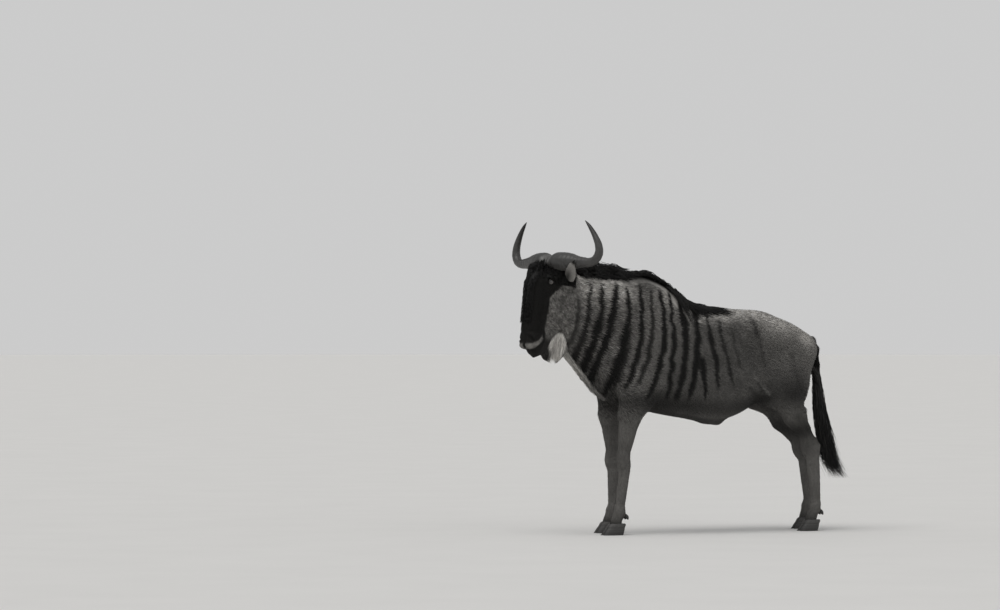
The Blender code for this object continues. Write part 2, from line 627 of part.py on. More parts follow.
# Beard: hangs from the chin and throat, (across, forward, down the face) on the head.
BEARD_JAW = (((0.0, -0.112, 0.410), 0.026), ((0.0, -0.155, 0.385), 0.040), ((0.0, -0.190, 0.350), 0.042),
             ((0.0, -0.220, 0.315), 0.042))
BEARD_TIPS = (((0.0, -0.155, 0.450), 0.014), ((0.0, -0.200, 0.440), 0.022), ((0.0, -0.245, 0.380), 0.024))
BEARD_THROAT = (((0.030, -0.730, 0.965), 0.042), ((0.018, -0.695, 0.885), 0.032), ((0.006, -0.630, 0.800), 0.026),
                ((0.0, -0.572, 0.722), 0.018))


def beard_field(p):
    q = (p - np.array(HEAD_ROOT)) @ FACE_AXES
    d = smin(strand(q, BEARD_JAW, flat=0.85), strand(q, BEARD_TIPS, flat=0.7), 0.05)
    return smin(d, strand(p, BEARD_THROAT, flat=0.8), 0.03)


def rough_beard():
    bm = []
    for line in (BEARD_JAW, BEARD_TIPS):
        for (a, ra), (b, rb) in zip(line, line[1:]):
            rod(bm, from_face(a), ra, from_face(b), rb)
    rod(bm, from_face((0.0, -0.185, 0.380)), 0.03, from_face((0.0, -0.200, 0.455)), 0.02)
    for (a, ra), (b, rb) in zip(BEARD_THROAT, BEARD_THROAT[1:]):
        rod(bm, a, ra, b, rb)
    rod(bm, from_face(BEARD_JAW[-1][0]), 0.03, BEARD_THROAT[0][0], 0.03)
    return bm


TAIL_TUFT = (((0.0, 0.688, 0.800), 0.021), ((0.0, 0.697, 0.700), 0.029), ((0.0, 0.712, 0.600), 0.037),
             ((0.0, 0.735, 0.480), 0.043), ((0.0, 0.762, 0.380), 0.045), ((0.0, 0.800, 0.310), 0.032),
             ((0.0, 0.848, 0.268), 0.014))
TUFT_LOW = (((0.0, 0.735, 0.480), 0.040), ((0.0, 0.738, 0.370), 0.037), ((0.0, 0.774, 0.280), 0.024))
TUFT_REAR = (((0.0, 0.765, 0.410), 0.036), ((0.0, 0.838, 0.330), 0.020))


def tuft_field(p):
    d = smin(strand(p, TAIL_TUFT, flat=0.8), strand(p, TUFT_LOW, flat=0.8), 0.02)
    return smin(d, strand(p, TUFT_REAR, flat=0.8), 0.02)


def rough_tuft():
    bm = []
    for line in (TAIL_TUFT, TUFT_LOW, TUFT_REAR):
        for (a, ra), (b, rb) in zip(line, line[1:]):
            rod(bm, a, ra * 0.8, b, rb * 0.8)
    return bm


# ---------------------------------------------------------------- horns, ears, eyes, hooves
def horn(name, side, home):
    """A loft from the flattened boss to the round tip."""
    bm = bmesh.new()
    centres = [Vector(from_skull((side * c[0], c[1], c[2]))) for c, _, _ in HORN_STATIONS]
    forward = Vector(SKULL_AXES[:, 1])
    rings = []
    for i, (centre, (_, high, deep)) in enumerate(zip(centres, HORN_STATIONS)):
        along = (centres[min(i + 1, len(centres) - 1)] - centres[max(i - 1, 0)]).normalized()
        across = along.cross(forward).normalized()
        ahead = across.cross(along).normalized()
        ring = []
        for j in range(HORN_SIDES):
            angle = 2 * math.pi * j / HORN_SIDES
            ring.append(bm.verts.new(centre + across * math.sin(angle) * high + ahead * math.cos(angle) * deep))
        rings.append(ring)
    for low, high in zip(rings, rings[1:]):
        for j in range(HORN_SIDES):
            k = (j + 1) % HORN_SIDES
            bm.faces.new((low[j], low[k], high[k], high[j]))
    bm.faces.new(rings[0])
    bm.faces.new(rings[-1])
    # the two bosses meet at a thin flat gap on the middle of the crown
    middle, outward = Vector(from_skull((side * 0.0012, 0, 0))), Vector(SKULL_AXES[:, 0]) * side
    bmesh.ops.bisect_plane(bm, geom=bm.verts[:] + bm.edges[:] + bm.faces[:], plane_co=middle,
                           plane_no=outward, clear_inner=True, dist=1e-7)
    bmesh.ops.holes_fill(bm, edges=[e for e in bm.edges if e.is_boundary])
    bmesh.ops.triangulate(bm, faces=bm.faces)
    return add(name, bm, home)


def ear(name, side, home):
    """A cupped leaf, thickened."""
    root = Vector(from_skull((side * EAR_ROOT[0], EAR_ROOT[1], EAR_ROOT[2])))
    (a, f, u), (b, g, h) = EAR_LEFT if side > 0 else EAR_RIGHT
    tip = Vector(from_skull((side * a, f, u)))
    left, forward, up = (Vector(SKULL_AXES[:, k]) for k in range(3))
    toward = left * (side * b) + forward * g + up * h
    along = tip - root
    length = along.length
    along.normalize()
    face = (toward - along * toward.dot(along)).normalized()
    wide = along.cross(face).normalized()
    bm = bmesh.new()
    rows, cols = 6, 5
    bmesh.ops.create_grid(bm, x_segments=cols, y_segments=rows, size=0.5)
    for v in bm.verts:
        u, w = v.co.y + 0.5, v.co.x * 2
        breadth = EAR_WIDTH / 2 * (0.42 + 0.58 * math.sin(math.pi * min(1.0, (u * 0.86 + 0.14)) ** 1.15) ** 0.8) * (
            1.0 if u < 0.55 else max(0.10, 1.0 - ((u - 0.55) / 0.45) ** 1.7))
        cup = 0.85 * (1.0 - 0.55 * u)
        angle = w * (0.9 + 1.0 * (1 - u))
        v.co = (root + along * (u * length) + wide * breadth * math.sin(angle * 0.8) / 0.8
                - face * breadth * cup * (math.cos(angle) - 1.0) * -1.0 + face * 0.010 * math.sin(math.pi * u))
    obj = add(name, bm, home)
    thick = obj.modifiers.new("thickness", "SOLIDIFY")
    thick.thickness = 0.0045
    thick.offset = 0.0
    baked(obj)
    bm = bmesh.new()
    bm.from_mesh(obj.data)
    bmesh.ops.triangulate(bm, faces=bm.faces)
    bmesh.ops.recalc_face_normals(bm, faces=bm.faces)
    bm.to_mesh(obj.data)
    bm.free()
    return obj


def hoof(name, leg, length, home):
    """Two claws on a flat sole, joined behind, with a cleft between them."""
    foot = Vector(leg["foot"]) * Vector((leg["side"], 1, 1))
    bm = bmesh.new()
    n, levels = 18, (0.0, 0.012, 0.036, CORONET - GAP - 0.001)
    rings = []
    for z in levels:
        u = z / levels[-1]
        ring = []
        for j in range(n):
            angle = 2 * math.pi * j / n
            x, y = math.sin(angle), math.cos(angle)
            half = HOOF_WIDTH / 2 * (1.0 - 0.16 * u) * (1.0 - 0.22 * max(0.0, -y) ** 2)
            reach = length / 2 * (1.0 - 0.26 * u)
            ring.append(bm.verts.new((foot.x + half * math.copysign(abs(x) ** 0.8, x),
                                      foot.y - 0.012 + reach * math.copysign(abs(y) ** 0.8, y) + 0.030 * u, z)))
        rings.append(ring)
    for low, high in zip(rings, rings[1:]):
        for j in range(n):
            k = (j + 1) % n
            bm.faces.new((low[j], low[k], high[k], high[j]))
    bm.faces.new(rings[0])
    bm.faces.new(rings[-1])
    bmesh.ops.triangulate(bm, faces=bm.faces)
    obj = add(name, bm, home)
    cleft = wedge(name + "_cleft", (((foot.x - 0.0030, foot.y, 0), (1, -0.04, 0.0)), ((foot.x + 0.0030, foot.y, 0), (-1, -0.04, 0.0)),
                                    ((0, foot.y + 0.012, 0), (0, -1, 0.12))), CUTTERS, size=6.0)
    boolean(obj, cleft, "DIFFERENCE")
    return largest(baked(obj))


# ---------------------------------------------------------------- build
clear()
PARTS = collection("wildebeest")
CUTTERS = collection("cutters", helper=True)

COAT = material("coat_grey", (0.085, 0.078, 0.072), 0.75)
DARK = material("hair_black", (0.010, 0.009, 0.009), 0.60)
FACE = material("face_black", (0.014, 0.013, 0.012), 0.65)
PALE = material("beard_pale", (0.420, 0.390, 0.350), 0.70)
HORN = material("horn_grey", (0.110, 0.100, 0.092), 0.42)
HOOF = material("hoof_black", (0.020, 0.018, 0.017), 0.40)
EYE = material("eye_dark", (0.012, 0.009, 0.007), 0.08)

body = rounded("body", rough_body(), body_field, 0.0125, CUTTERS)
body = thinned(body, BODY_TRIANGLES)
body.hide_render = True
body.display_type = "WIRE"


def plane_pair(point, normal):
    """The two sides of a thin cut."""
    n = Vector(normal).normalized()
    point = Vector(point)
    return (point + n * GAP / 2, n), (point - n * GAP / 2, -n)


# Thin cuts, each as the side that a part keeps and the side that is left for the rest.
face_n = FACE_AXES[:, 1] * 0.963 + FACE_AXES[:, 2] * 0.271
head_in, head_out = plane_pair(from_face((0, -0.1354 * 0.963, -0.1354 * 0.271)), face_n)
neck_in, neck_out = plane_pair((0, -0.42, 1.33), (0, -0.962, 0.275))
tail_in, tail_out = plane_pair((0, 0.643, 0.985), (0, 0.97, 0.12))
knee_in, knee_out = plane_pair((0, -0.48, 0.376), (0, 0, -1))
hock_in, hock_out = plane_pair((0, 0.60, 0.440), (0, 0.35, -1))


def leg_planes(side, point, normal):
    return plane_pair(point, normal), plane_pair((0, 0, 0), (side, 0, 0))


pieces = {
    "head": [head_in],
    "neck": [head_out, neck_in],
}
trunk_planes = [neck_out]
fore_top = {}
hind_top = {}
for side, label in ((1, "left"), (-1, "right")):
    fore = plane_pair((side * 0.06, -0.45, 0.668), (side * 0.45, 0.0, -0.893))
    hind = plane_pair((side * 0.03, 0.40, 0.700), (side * 0.72, 0.22, -0.80))
    inner = ((side * GAP / 2, 0, 0), (side, 0, 0))
    front = ((0, -0.352, 0.660), (0, -1, -0.25))
    rear = ((0, 0.255, 0.690), (0, 0.894, 0.447))
    fore_top[side], hind_top[side] = fore, hind
    pieces[f"foreleg_{label}_upper"] = [neck_out, fore[0], inner, front, knee_out]
    pieces[f"foreleg_{label}_lower"] = [inner, ((0, 0, 0), (0, -1, 0)), knee_in, ((0, 0, CORONET), (0, 0, 1))]
    pieces[f"hindleg_{label}_upper"] = [hind[0], inner, rear, hock_out, tail_out]
    pieces[f"hindleg_{label}_lower"] = [inner, ((0, 0, 0), (0, 1, 0)), hock_in, ((0, 0, CORONET), (0, 0, 1)), tail_out]

for name, planes in pieces.items():
    part = duplicate(body, name, PARTS)
    boolean(part, wedge(name + "_cut", planes, CUTTERS), "INTERSECT")
    largest(baked(part))

tail = duplicate(body, "tail", PARTS)
boolean(tail, wedge("tail_cut", [tail_in, ((0, 0, 0.755), (0, 0, 1))], CUTTERS), "INTERSECT")
largest(baked(tail))

trunk = duplicate(body, "trunk", PARTS)
boolean(trunk, wedge("trunk_keep", [neck_out, tail_out], CUTTERS), "INTERSECT")
baked(trunk)
for side, label in ((1, "left"), (-1, "right")):
    for kind, top, ends in (("fore", fore_top[side], ((0, -0.352 + GAP, 0.660), (0, -1, -0.25))),
                            ("hind", hind_top[side], ((0, 0.255 - GAP, 0.690), (0, 0.894, 0.447)))):
        (point, normal), _ = top
        planes = [(point - normal * GAP, normal), ((-side * GAP, 0, 0), (side, 0, 0)), ends]
        boolean(trunk, wedge(f"{kind}_{label}_from_trunk", planes, CUTTERS), "DIFFERENCE")
        baked(trunk)
largest(trunk)

# Hair masses lie on the body: each loses what the body fills.
body_wide = widened(body, "body_wide", 0.0006, CUTTERS)
mane = thinned(rounded("mane_rough", rough_mane(), mane_field, 0.011, CUTTERS), 560)
beard = thinned(rounded("beard_rough", rough_beard(), beard_field, 0.010, CUTTERS), 360)
forelock = thinned(rounded("forelock_rough", rough_forelock(), forelock_field, 0.009, CUTTERS), 150)
tuft = thinned(rounded("tuft_rough", rough_tuft(), tuft_field, 0.010, CUTTERS), 220)

horns = [horn("horn_left", 1, PARTS), horn("horn_right", -1, PARTS)]
ears = [ear("ear_left", 1, PARTS), ear("ear_right", -1, PARTS)]
horn_wide = [widened(h, h.name + "_wide", 0.0006, CUTTERS) for h in horns]
ear_wide = [widened(e, e.name + "_wide", 0.0005, CUTTERS) for e in ears]

for obj in (mane, beard, forelock, tuft):
    obj.hide_render = True
    obj.display_type = "WIRE"


def hair(name, source, planes, cutters):
    part = duplicate(source, name, PARTS)
    if planes:
        boolean(part, wedge(name + "_cut", planes, CUTTERS), "INTERSECT")
        baked(part)
    for cutter in cutters:
        boolean(part, cutter, "DIFFERENCE")
        baked(part)
    return largest(part)


mane_front, mane_back = plane_pair((0, -0.45, 1.3), (0, -1, 0.1))
hair("mane_neck", mane, [mane_front], [body_wide, *horn_wide, *ear_wide])
hair("mane_withers", mane, [mane_back], [body_wide])
hair("beard", beard, [], [body_wide])
hair("forelock", forelock, [], [body_wide, *horn_wide])
hair("tail_tuft", tuft, [], [body_wide])

# Eyes sit in their sockets, horns on their bosses, ears at the sides of the crown.
head = bpy.data.objects["head"]
for side, label in ((1, "left"), (-1, "right")):
    centre = Vector(from_face((side * EYE_AT[0], EYE_AT[1], EYE_AT[2])))
    bm = bmesh.new()
    ball(bm, centre, EYE_RADIUS, u=12, v=7)
    bmesh.ops.triangulate(bm, faces=bm.faces)
    add(f"eye_{label}", bm, PARTS)
    bm = bmesh.new()
    ball(bm, centre, EYE_RADIUS + 0.0005, u=12, v=7)
    bmesh.ops.triangulate(bm, faces=bm.faces)
    socket = add(f"eye_{label}_socket", bm, CUTTERS)
    socket.hide_render = True
    socket.display_type = "WIRE"
    boolean(head, socket, "DIFFERENCE")
    baked(head)
for cutter in (*horn_wide, *ear_wide):
    boolean(head, cutter, "DIFFERENCE")
    baked(head)
largest(head)
neck = bpy.data.objects["neck"]
for cutter in (*horn_wide, *ear_wide):
    boolean(neck, cutter, "DIFFERENCE")
    baked(neck)
largest(neck)
for label, obj in zip(("left", "right"), ears):
    boolean(obj, horn_wide[0 if label == "left" else 1], "DIFFERENCE")
    baked(obj)
    largest(obj)

hoof("hoof_fore_left", FORE_LEFT, HOOF_LENGTH_FORE, PARTS)
hoof("hoof_fore_right", FORE_RIGHT, HOOF_LENGTH_FORE, PARTS)
hoof("hoof_hind_left", HIND_LEFT, HOOF_LENGTH_HIND, PARTS)
hoof("hoof_hind_right", HIND_RIGHT, HOOF_LENGTH_HIND, PARTS)

for obj in list(PARTS.objects):
    kind = obj.name.split("_")[0]
    mat = {"mane": DARK, "forelock": DARK, "beard": PALE, "horn": HORN, "hoof": HOOF, "eye": EYE,
           "head": FACE}.get(kind, DARK if obj.name == "tail_tuft" else COAT)
    obj.data.materials.clear()
    obj.data.materials.append(mat.copy())
    obj.data.materials[0].name = obj.name + "_material"
    set_points(obj.data, points_of(obj.data) + np.array(SHIFT))
    obj.data.shade_smooth()
    obj.data.set_sharp_from_angle(angle=math.radians(40))
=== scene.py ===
"""Blue wildebeest bull in its white-bearded form, life size, standing: the looks of a still museum-style model.

One skin over the solids of flesh, with tufts, locks and long hair in solid mesh on it, horns, eyes and
hooves as pieces of their own. Metres, +Z up; the animal faces -Y and its left side is +X. The field
functions give the rounded body as signed distance in the body frame; SHIFT moves it to the row's frame.
"""

import math

import bmesh
import bpy
import numpy as np
from mathutils import Matrix, Vector


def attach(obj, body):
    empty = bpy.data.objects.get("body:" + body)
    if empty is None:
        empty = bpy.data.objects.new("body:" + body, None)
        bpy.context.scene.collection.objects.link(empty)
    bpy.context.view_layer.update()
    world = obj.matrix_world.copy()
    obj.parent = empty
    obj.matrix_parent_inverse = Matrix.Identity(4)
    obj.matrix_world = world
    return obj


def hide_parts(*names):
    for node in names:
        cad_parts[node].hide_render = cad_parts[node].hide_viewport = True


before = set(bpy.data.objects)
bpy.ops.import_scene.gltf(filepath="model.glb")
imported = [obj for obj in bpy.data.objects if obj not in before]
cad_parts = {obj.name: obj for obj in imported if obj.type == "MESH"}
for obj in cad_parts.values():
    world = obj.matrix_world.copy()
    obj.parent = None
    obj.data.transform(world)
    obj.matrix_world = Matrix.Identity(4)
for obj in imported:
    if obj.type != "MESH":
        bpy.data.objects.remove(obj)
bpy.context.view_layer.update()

SHIFT = np.array((-0.02874, 0.10415, 0.0))
SEED = 4711

# ---------------------------------------------------------------- driving dimensions
# Back line, from the base of the neck to the root of the tail.
CREST = (-0.62, 1.300)
CREST_BASE = (-0.47, 1.312)
WITHERS = (-0.345, 1.318)
BEHIND_WITHERS = (-0.19, 1.250)
SADDLE = (-0.06, 1.170)
BACK = (0.06, 1.150)
LOIN = (0.22, 1.151)
CROUP = (0.38, 1.133)
RUMP = (0.52, 1.058)
DOCK = (0.625, 0.990)

# Under line, from the point of the chest to between the thighs.
CHEST_POINT = (-0.62, 0.770)
BRISKET = (-0.50, 0.668)
STERNUM = (-0.33, 0.628)
GIRTH = (-0.12, 0.590)
NAVEL = (0.06, 0.568)
FLANK = (0.22, 0.614)
GROIN = (0.345, 0.700)
PERINEUM = (0.52, 0.800)
SEAT = (0.625, 0.880)

# Half widths of the trunk at (Y, half width), and how much the top is narrower.
TRUNK_WIDTH = ((-0.62, 0.110), (-0.50, 0.150), (-0.33, 0.186), (-0.12, 0.218),
               (0.06, 0.232), (0.22, 0.220), (0.36, 0.190), (0.52, 0.135), (0.625, 0.070))
TRUNK_PEAK = ((-0.62, 0.30), (-0.33, 0.46), (-0.12, 0.34), (0.06, 0.20), (0.36, 0.06), (0.625, 0.0))

# Head frame: the root is between the horn bosses, at the front.
HEAD_ROOT = (0.050, -0.908, 1.386)
HEAD_YAW = math.radians(16.0)  # turned to the animal's left
HEAD_PITCH = math.radians(19.0)  # nose carried out in front of the brow
HEAD_ROLL = math.radians(0.6)  # right side lower

# Outline of the head along the face: (distance down the face, front, back, half width).
POLL_SECTION = (-0.015, -0.030, -0.150, 0.064)
BROW_TOP_SECTION = (0.048, 0.018, -0.172, 0.078)
BROW_SECTION = (0.110, 0.067, -0.190, 0.077)
CHEEK_SECTION = (0.172, 0.073, -0.198, 0.066)
JAW_SECTION = (0.230, 0.064, -0.200, 0.058)
BRIDGE_SECTION = (0.288, 0.052, -0.190, 0.051)
LIP_SECTION = (0.350, 0.036, -0.166, 0.046)
NOSTRIL_SECTION = (0.402, 0.018, -0.138, 0.046)
MUZZLE_SECTION = (0.438, -0.006, -0.116, 0.046)
CHIN_SECTION = (0.464, -0.040, -0.098, 0.032)

EYE_RADIUS = 0.0215
EYE_AT = (0.0705, 0.004, 0.108)  # across, forward, down the face

# Horns: (across, forward, up) from the head's root, and the half height and half depth.
HORN_STATIONS = (
    ((0.003, -0.038, 0.002), 0.026, 0.036),
    ((0.011, -0.037, 0.002), 0.040, 0.050),
    ((0.040, -0.039, 0.002), 0.0470, 0.056),
    ((0.078, -0.044, 0.003), 0.0475, 0.055),
    ((0.125, -0.052, 0.003), 0.042, 0.049),
    ((0.170, -0.054, -0.001), 0.033, 0.038),
    ((0.217, -0.058, -0.003), 0.026, 0.029),
    ((0.262, -0.064, -0.003), 0.0225, 0.0245),
    ((0.296, -0.071, 0.013), 0.0215, 0.0225),
    ((0.312, -0.076, 0.044), 0.0210, 0.0215),
    ((0.308, -0.077, 0.082), 0.0185, 0.0190),
    ((0.289, -0.075, 0.122), 0.0150, 0.0155),
    ((0.264, -0.072, 0.160), 0.0110, 0.0115),
    ((0.239, -0.069, 0.190), 0.0068, 0.0072),
    ((0.221, -0.067, 0.2075), 0.0016, 0.0016),
)
HORN_SIDES = 10

# Leg joints: the left legs, and the right ones where they stand differently.
FORE_LEFT = dict(side=1, shoulder=(0.160, -0.560, 0.860), elbow=(0.150, -0.445, 0.700),
                 forearm=(0.143, -0.478, 0.610), knee=(0.124, -0.505, 0.375),
                 fetlock=(0.114, -0.524, 0.118), foot=(0.114, -0.556, 0.0))
FORE_RIGHT = dict(side=-1, shoulder=(0.160, -0.550, 0.860), elbow=(0.150, -0.425, 0.700),
                  forearm=(0.143, -0.446, 0.610), knee=(0.126, -0.444, 0.378),
                  fetlock=(0.116, -0.448, 0.118), foot=(0.116, -0.480, 0.0))
HIND_LEFT = dict(side=1, hip=(0.128, 0.415, 0.935), stifle=(0.158, 0.315, 0.745),
                 gaskin=(0.132, 0.475, 0.590), hock=(0.119, 0.578, 0.437),
                 fetlock=(0.116, 0.610, 0.122), foot=(0.116, 0.578, 0.0))
HIND_RIGHT = dict(side=-1, hip=(0.128, 0.430, 0.930), stifle=(0.158, 0.375, 0.725),
                  gaskin=(0.132, 0.545, 0.570), hock=(0.121, 0.664, 0.424),
                  fetlock=(0.120, 0.704, 0.122), foot=(0.120, 0.674, 0.0))
CORONET = 0.060  # height at which the leg ends and the hoof begins
HOOF_LENGTH_FORE = 0.108
HOOF_LENGTH_HIND = 0.100
HOOF_WIDTH = 0.080

# Tail: dock from the rump, then the long tuft.
TAIL_LINE = ((0.0, 0.600, 0.970), (0.0, 0.652, 0.984), (0.0, 0.679, 0.940),
             (0.0, 0.686, 0.860), (0.0, 0.684, 0.770), (0.0, 0.690, 0.690))
TAIL_RADII = (0.030, 0.026, 0.023, 0.020, 0.018, 0.012)

# Ears: root, tip and the way the cup faces, in (across, forward, up) from the head's root; the right
# ear is laid back.
EAR_ROOT = (0.076, -0.072, -0.096)
EAR_LEFT = ((0.206, -0.006, 0.008), (0.45, 0.80, 0.0))
EAR_RIGHT = ((0.158, -0.176, -0.030), (0.85, 0.10, -0.30))
EAR_WIDTH = 0.056


# ---------------------------------------------------------------- fields: signed distance, below zero inside
def smin(a, b, k):
    h = np.clip(0.5 + 0.5 * (b - a) / k, 0.0, 1.0)
    return b + (a - b) * h - k * h * (1.0 - h)


def smax(a, b, k):
    return -smin(-a, -b, k)


def curve(points):
    """Smooth curve through (x, y, ...) stations, as a function of x."""
    table = np.array(points, float)
    x, y = table[:, 0], table[:, 1:]
    slope = np.zeros_like(y)
    step = np.diff(x)[:, None]
    rise = np.diff(y, axis=0) / step
    slope[1:-1] = (rise[:-1] * step[1:] + rise[1:] * step[:-1]) / (step[1:] + step[:-1])
    slope[0], slope[-1] = rise[0], rise[-1]

    def at(q):
        q = np.clip(q, x[0], x[-1])
        i = np.clip(np.searchsorted(x, q) - 1, 0, len(x) - 2)
        h = (x[i + 1] - x[i])[:, None]
        u = (q - x[i])[:, None] / h
        return ((1 + 2 * u) * (1 - u) ** 2 * y[i] + u * (1 - u) ** 2 * h * slope[i]
                + u * u * (3 - 2 * u) * y[i + 1] + u * u * (u - 1) * h * slope[i + 1])

    return at


def egg(p, centre, radii):
    """Distance to an ellipsoid."""
    q = p - np.array(centre)
    r = np.array(radii)
    a = np.sqrt(((q / r) ** 2).sum(1)) + 1e-9
    b = np.sqrt(((q / r**2) ** 2).sum(1)) + 1e-9
    return a * (a - 1.0) / b


def limb(p, a, ra, b, rb, flat=1.0, across=(1.0, 0.0, 0.0), belly=0.0):
    """Distance to a tapered bar with round ends, flattened across by a factor."""
    a, b, n = np.array(a, float), np.array(b, float), np.array(across, float)
    if flat != 1.0:
        grow = 1.0 / flat - 1.0
        p = p + ((p - a) @ n * grow)[:, None] * n
        b = b + (b - a) @ n * grow * n
    ab = b - a
    u = np.clip((p - a) @ ab / (ab @ ab), 0.0, 1.0)
    r = ra + (rb - ra) * u + belly * np.sin(np.pi * u)
    return (np.sqrt(((p - a - u[:, None] * ab) ** 2).sum(1)) - r) * min(1.0, 0.5 + 0.5 * flat)


top_line = curve((CREST, CREST_BASE, WITHERS, BEHIND_WITHERS, SADDLE, BACK, LOIN, CROUP, RUMP, DOCK))
under_line = curve((CHEST_POINT, BRISKET, STERNUM, GIRTH, NAVEL, FLANK, GROIN, PERINEUM, SEAT))
trunk_width = curve(TRUNK_WIDTH)
trunk_peak = curve(TRUNK_PEAK)
head_sections = curve((POLL_SECTION, BROW_TOP_SECTION, BROW_SECTION, CHEEK_SECTION, JAW_SECTION,
                       BRIDGE_SECTION, LIP_SECTION, NOSTRIL_SECTION, MUZZLE_SECTION, CHIN_SECTION))


def trunk_field(p):
    y = np.clip(p[:, 1], CREST[0], DOCK[0])
    top, low = top_line(y)[:, 0], under_line(y)[:, 0]
    width, peak = trunk_width(y)[:, 0], trunk_peak(y)[:, 0]
    half, mid = (top - low) / 2, (top + low) / 2
    across, up = p[:, 0], p[:, 2] - mid
    z = up / half
    w = width * (1.0 - peak * np.clip(z, -0.6, 1.2))
    q = np.abs(z)
    rho = np.sqrt((across / w) ** 2 + q**2.3) + 1e-6
    out = np.hypot(across, up) * (1.0 - 1.0 / rho)
    beyond = np.abs(p[:, 1] - y)
    return np.where(beyond > 0, np.hypot(np.maximum(out, 0), beyond) + np.minimum(out, 0), out) + 0.35 * beyond


def neck_field(p):
    d = limb(p, (0.0, -0.40, 1.008), 0.288, (0.004, -0.550, 1.050), 0.242, flat=0.58)
    d = smin(d, limb(p, (0.004, -0.550, 1.050), 0.240, (0.022, -0.690, 1.130), 0.178, flat=0.64), 0.06)
    d = smin(d, limb(p, (0.022, -0.690, 1.130), 0.178, (0.034, -0.800, 1.215), 0.128, flat=0.70), 0.05)
    # crest and the gullet line
    d = smin(d, limb(p, (0.0, -0.42, 1.250), 0.055, (0.018, -0.765, 1.262), 0.055, flat=0.9), 0.07)
    d = smin(d, limb(p, (0.030, -0.715, 1.010), 0.060, (0.0, -0.545, 0.800), 0.092, flat=0.85), 0.08)
    return d


def fore_field(p, leg):
    s = leg["side"]
    q = p * np.array([s, 1.0, 1.0])
    sh, el, fo, kn, fe, ft = (np.array(leg[n]) for n in ("shoulder", "elbow", "forearm", "knee", "fetlock", "foot"))
    d = limb(q, (0.072, -0.315, 1.165), 0.090, sh + (-0.052, 0.052, 0.015), 0.106, flat=0.60)
    d = smin(d, limb(q, (0.118, -0.350, 0.985), 0.105, el + (-0.012, 0.03, 0.02), 0.080, flat=0.62), 0.05)
    d = smin(d, limb(q, sh + (-0.040, 0.034, 0.0), 0.074, el + (-0.006, 0.0, 0.0), 0.070, flat=0.72), 0.08)
    d = smin(d, limb(q, el + (-0.002, -0.005, 0.0), 0.076, fo, 0.060, flat=0.74), 0.04)
    d = smin(d, limb(q, fo, 0.0600, kn + (0.0, 0.002, 0.050), 0.0375, flat=0.80, belly=0.001), 0.03)
    d = smin(d, egg(q, kn + (0.0, -0.003, 0.0), (0.0350, 0.0395, 0.0540)), 0.020)
    d = smin(d, limb(q, kn + (0.0, 0.004, -0.030), 0.0320, fe + (0.0, 0.0, 0.030), 0.0245, flat=0.84), 0.020)
    d = smin(d, limb(q, kn + (0.0, 0.020, -0.050), 0.0150, fe + (0.0, 0.016, 0.020), 0.0140), 0.012)
    d = smin(d, egg(q, fe, (0.0300, 0.0330, 0.0340)), 0.016)
    coronet = ft + (0.0, 0.010, CORONET)
    d = smin(d, limb(q, fe + (0.0, -0.004, -0.008), 0.0280, coronet, 0.0315, flat=1.08), 0.016)
    return smin(d, egg(q, fe + (0.0, 0.028, -0.022), (0.022, 0.013, 0.014)), 0.010)


def hind_field(p, leg):
    s = leg["side"]
    q = p * np.array([s, 1.0, 1.0])
    hip, st, ga, ho, fe, ft = (np.array(leg[n]) for n in ("hip", "stifle", "gaskin", "hock", "fetlock", "foot"))
    d = limb(q, (0.140, 0.240, 1.030), 0.052, (0.092, 0.560, 0.945), 0.062, flat=0.8)
    d = smin(d, limb(q, hip + (-0.028, -0.005, -0.01), 0.160, st + (-0.032, 0.040, 0.01), 0.114, flat=0.62), 0.08)
    d = smin(d, limb(q, (0.084, 0.530, 0.920), 0.082, (0.100, 0.505, 0.720), 0.068, flat=0.80), 0.06)
    d = smin(d, egg(q, st + (-0.008, -0.004, 0.004), (0.048, 0.056, 0.070)), 0.06)
    d = smin(d, limb(q, st + (-0.026, 0.092, 0.005), 0.100, ga + (0.0, 0.006, 0.010), 0.062, flat=0.68), 0.05)
    d = smin(d, limb(q, ga + (0.0, 0.012, 0.0), 0.0570, ho + (0.0, -0.008, 0.028), 0.0390, flat=0.72), 0.03)
    d = smin(d, limb(q, ga + (0.0, 0.068, 0.030), 0.0220, ho + (0.0, 0.044, 0.024), 0.0190, flat=0.85), 0.022)
    d = smin(d, egg(q, ho + (0.0, -0.006, 0.0), (0.0330, 0.0480, 0.0560)), 0.025)
    d = smin(d, egg(q, ho + (0.0, 0.040, 0.016), (0.0200, 0.0225, 0.0290)), 0.020)
    d = smin(d, limb(q, ho + (0.0, 0.014, -0.020), 0.0380, fe + (0.0, 0.0, 0.035), 0.0265, flat=0.80), 0.025)
    d = smin(d, limb(q, ho + (0.0, 0.034, -0.012), 0.0190, fe + (0.0, 0.018, 0.025), 0.0145), 0.024)
    d = smin(d, egg(q, fe, (0.0310, 0.0350, 0.0360)), 0.018)
    coronet = ft + (0.0, 0.010, CORONET)
    d = smin(d, limb(q, fe + (0.0, -0.004, -0.008), 0.0290, coronet, 0.0310, flat=1.06), 0.016)
    return smin(d, egg(q, fe + (0.0, 0.030, -0.022), (0.022, 0.013, 0.014)), 0.010)


def head_axes():
    """Columns: across (to the animal's left), forward off the face, down the face, in the body frame."""
    forward = Vector((math.sin(HEAD_YAW), -math.cos(HEAD_YAW), 0.0))
    left = Vector((math.cos(HEAD_YAW), math.sin(HEAD_YAW), 0.0))
    roll = Matrix.Rotation(HEAD_ROLL, 3, forward)
    left = roll @ left
    up = roll @ Vector((0.0, 0.0, 1.0))
    t = forward * math.cos(HEAD_PITCH) + up * math.sin(HEAD_PITCH)
    s = forward * math.sin(HEAD_PITCH) - up * math.cos(HEAD_PITCH)
    return np.array([left, t, s]).T, np.array([left, forward, up]).T


FACE_AXES, SKULL_AXES = head_axes()


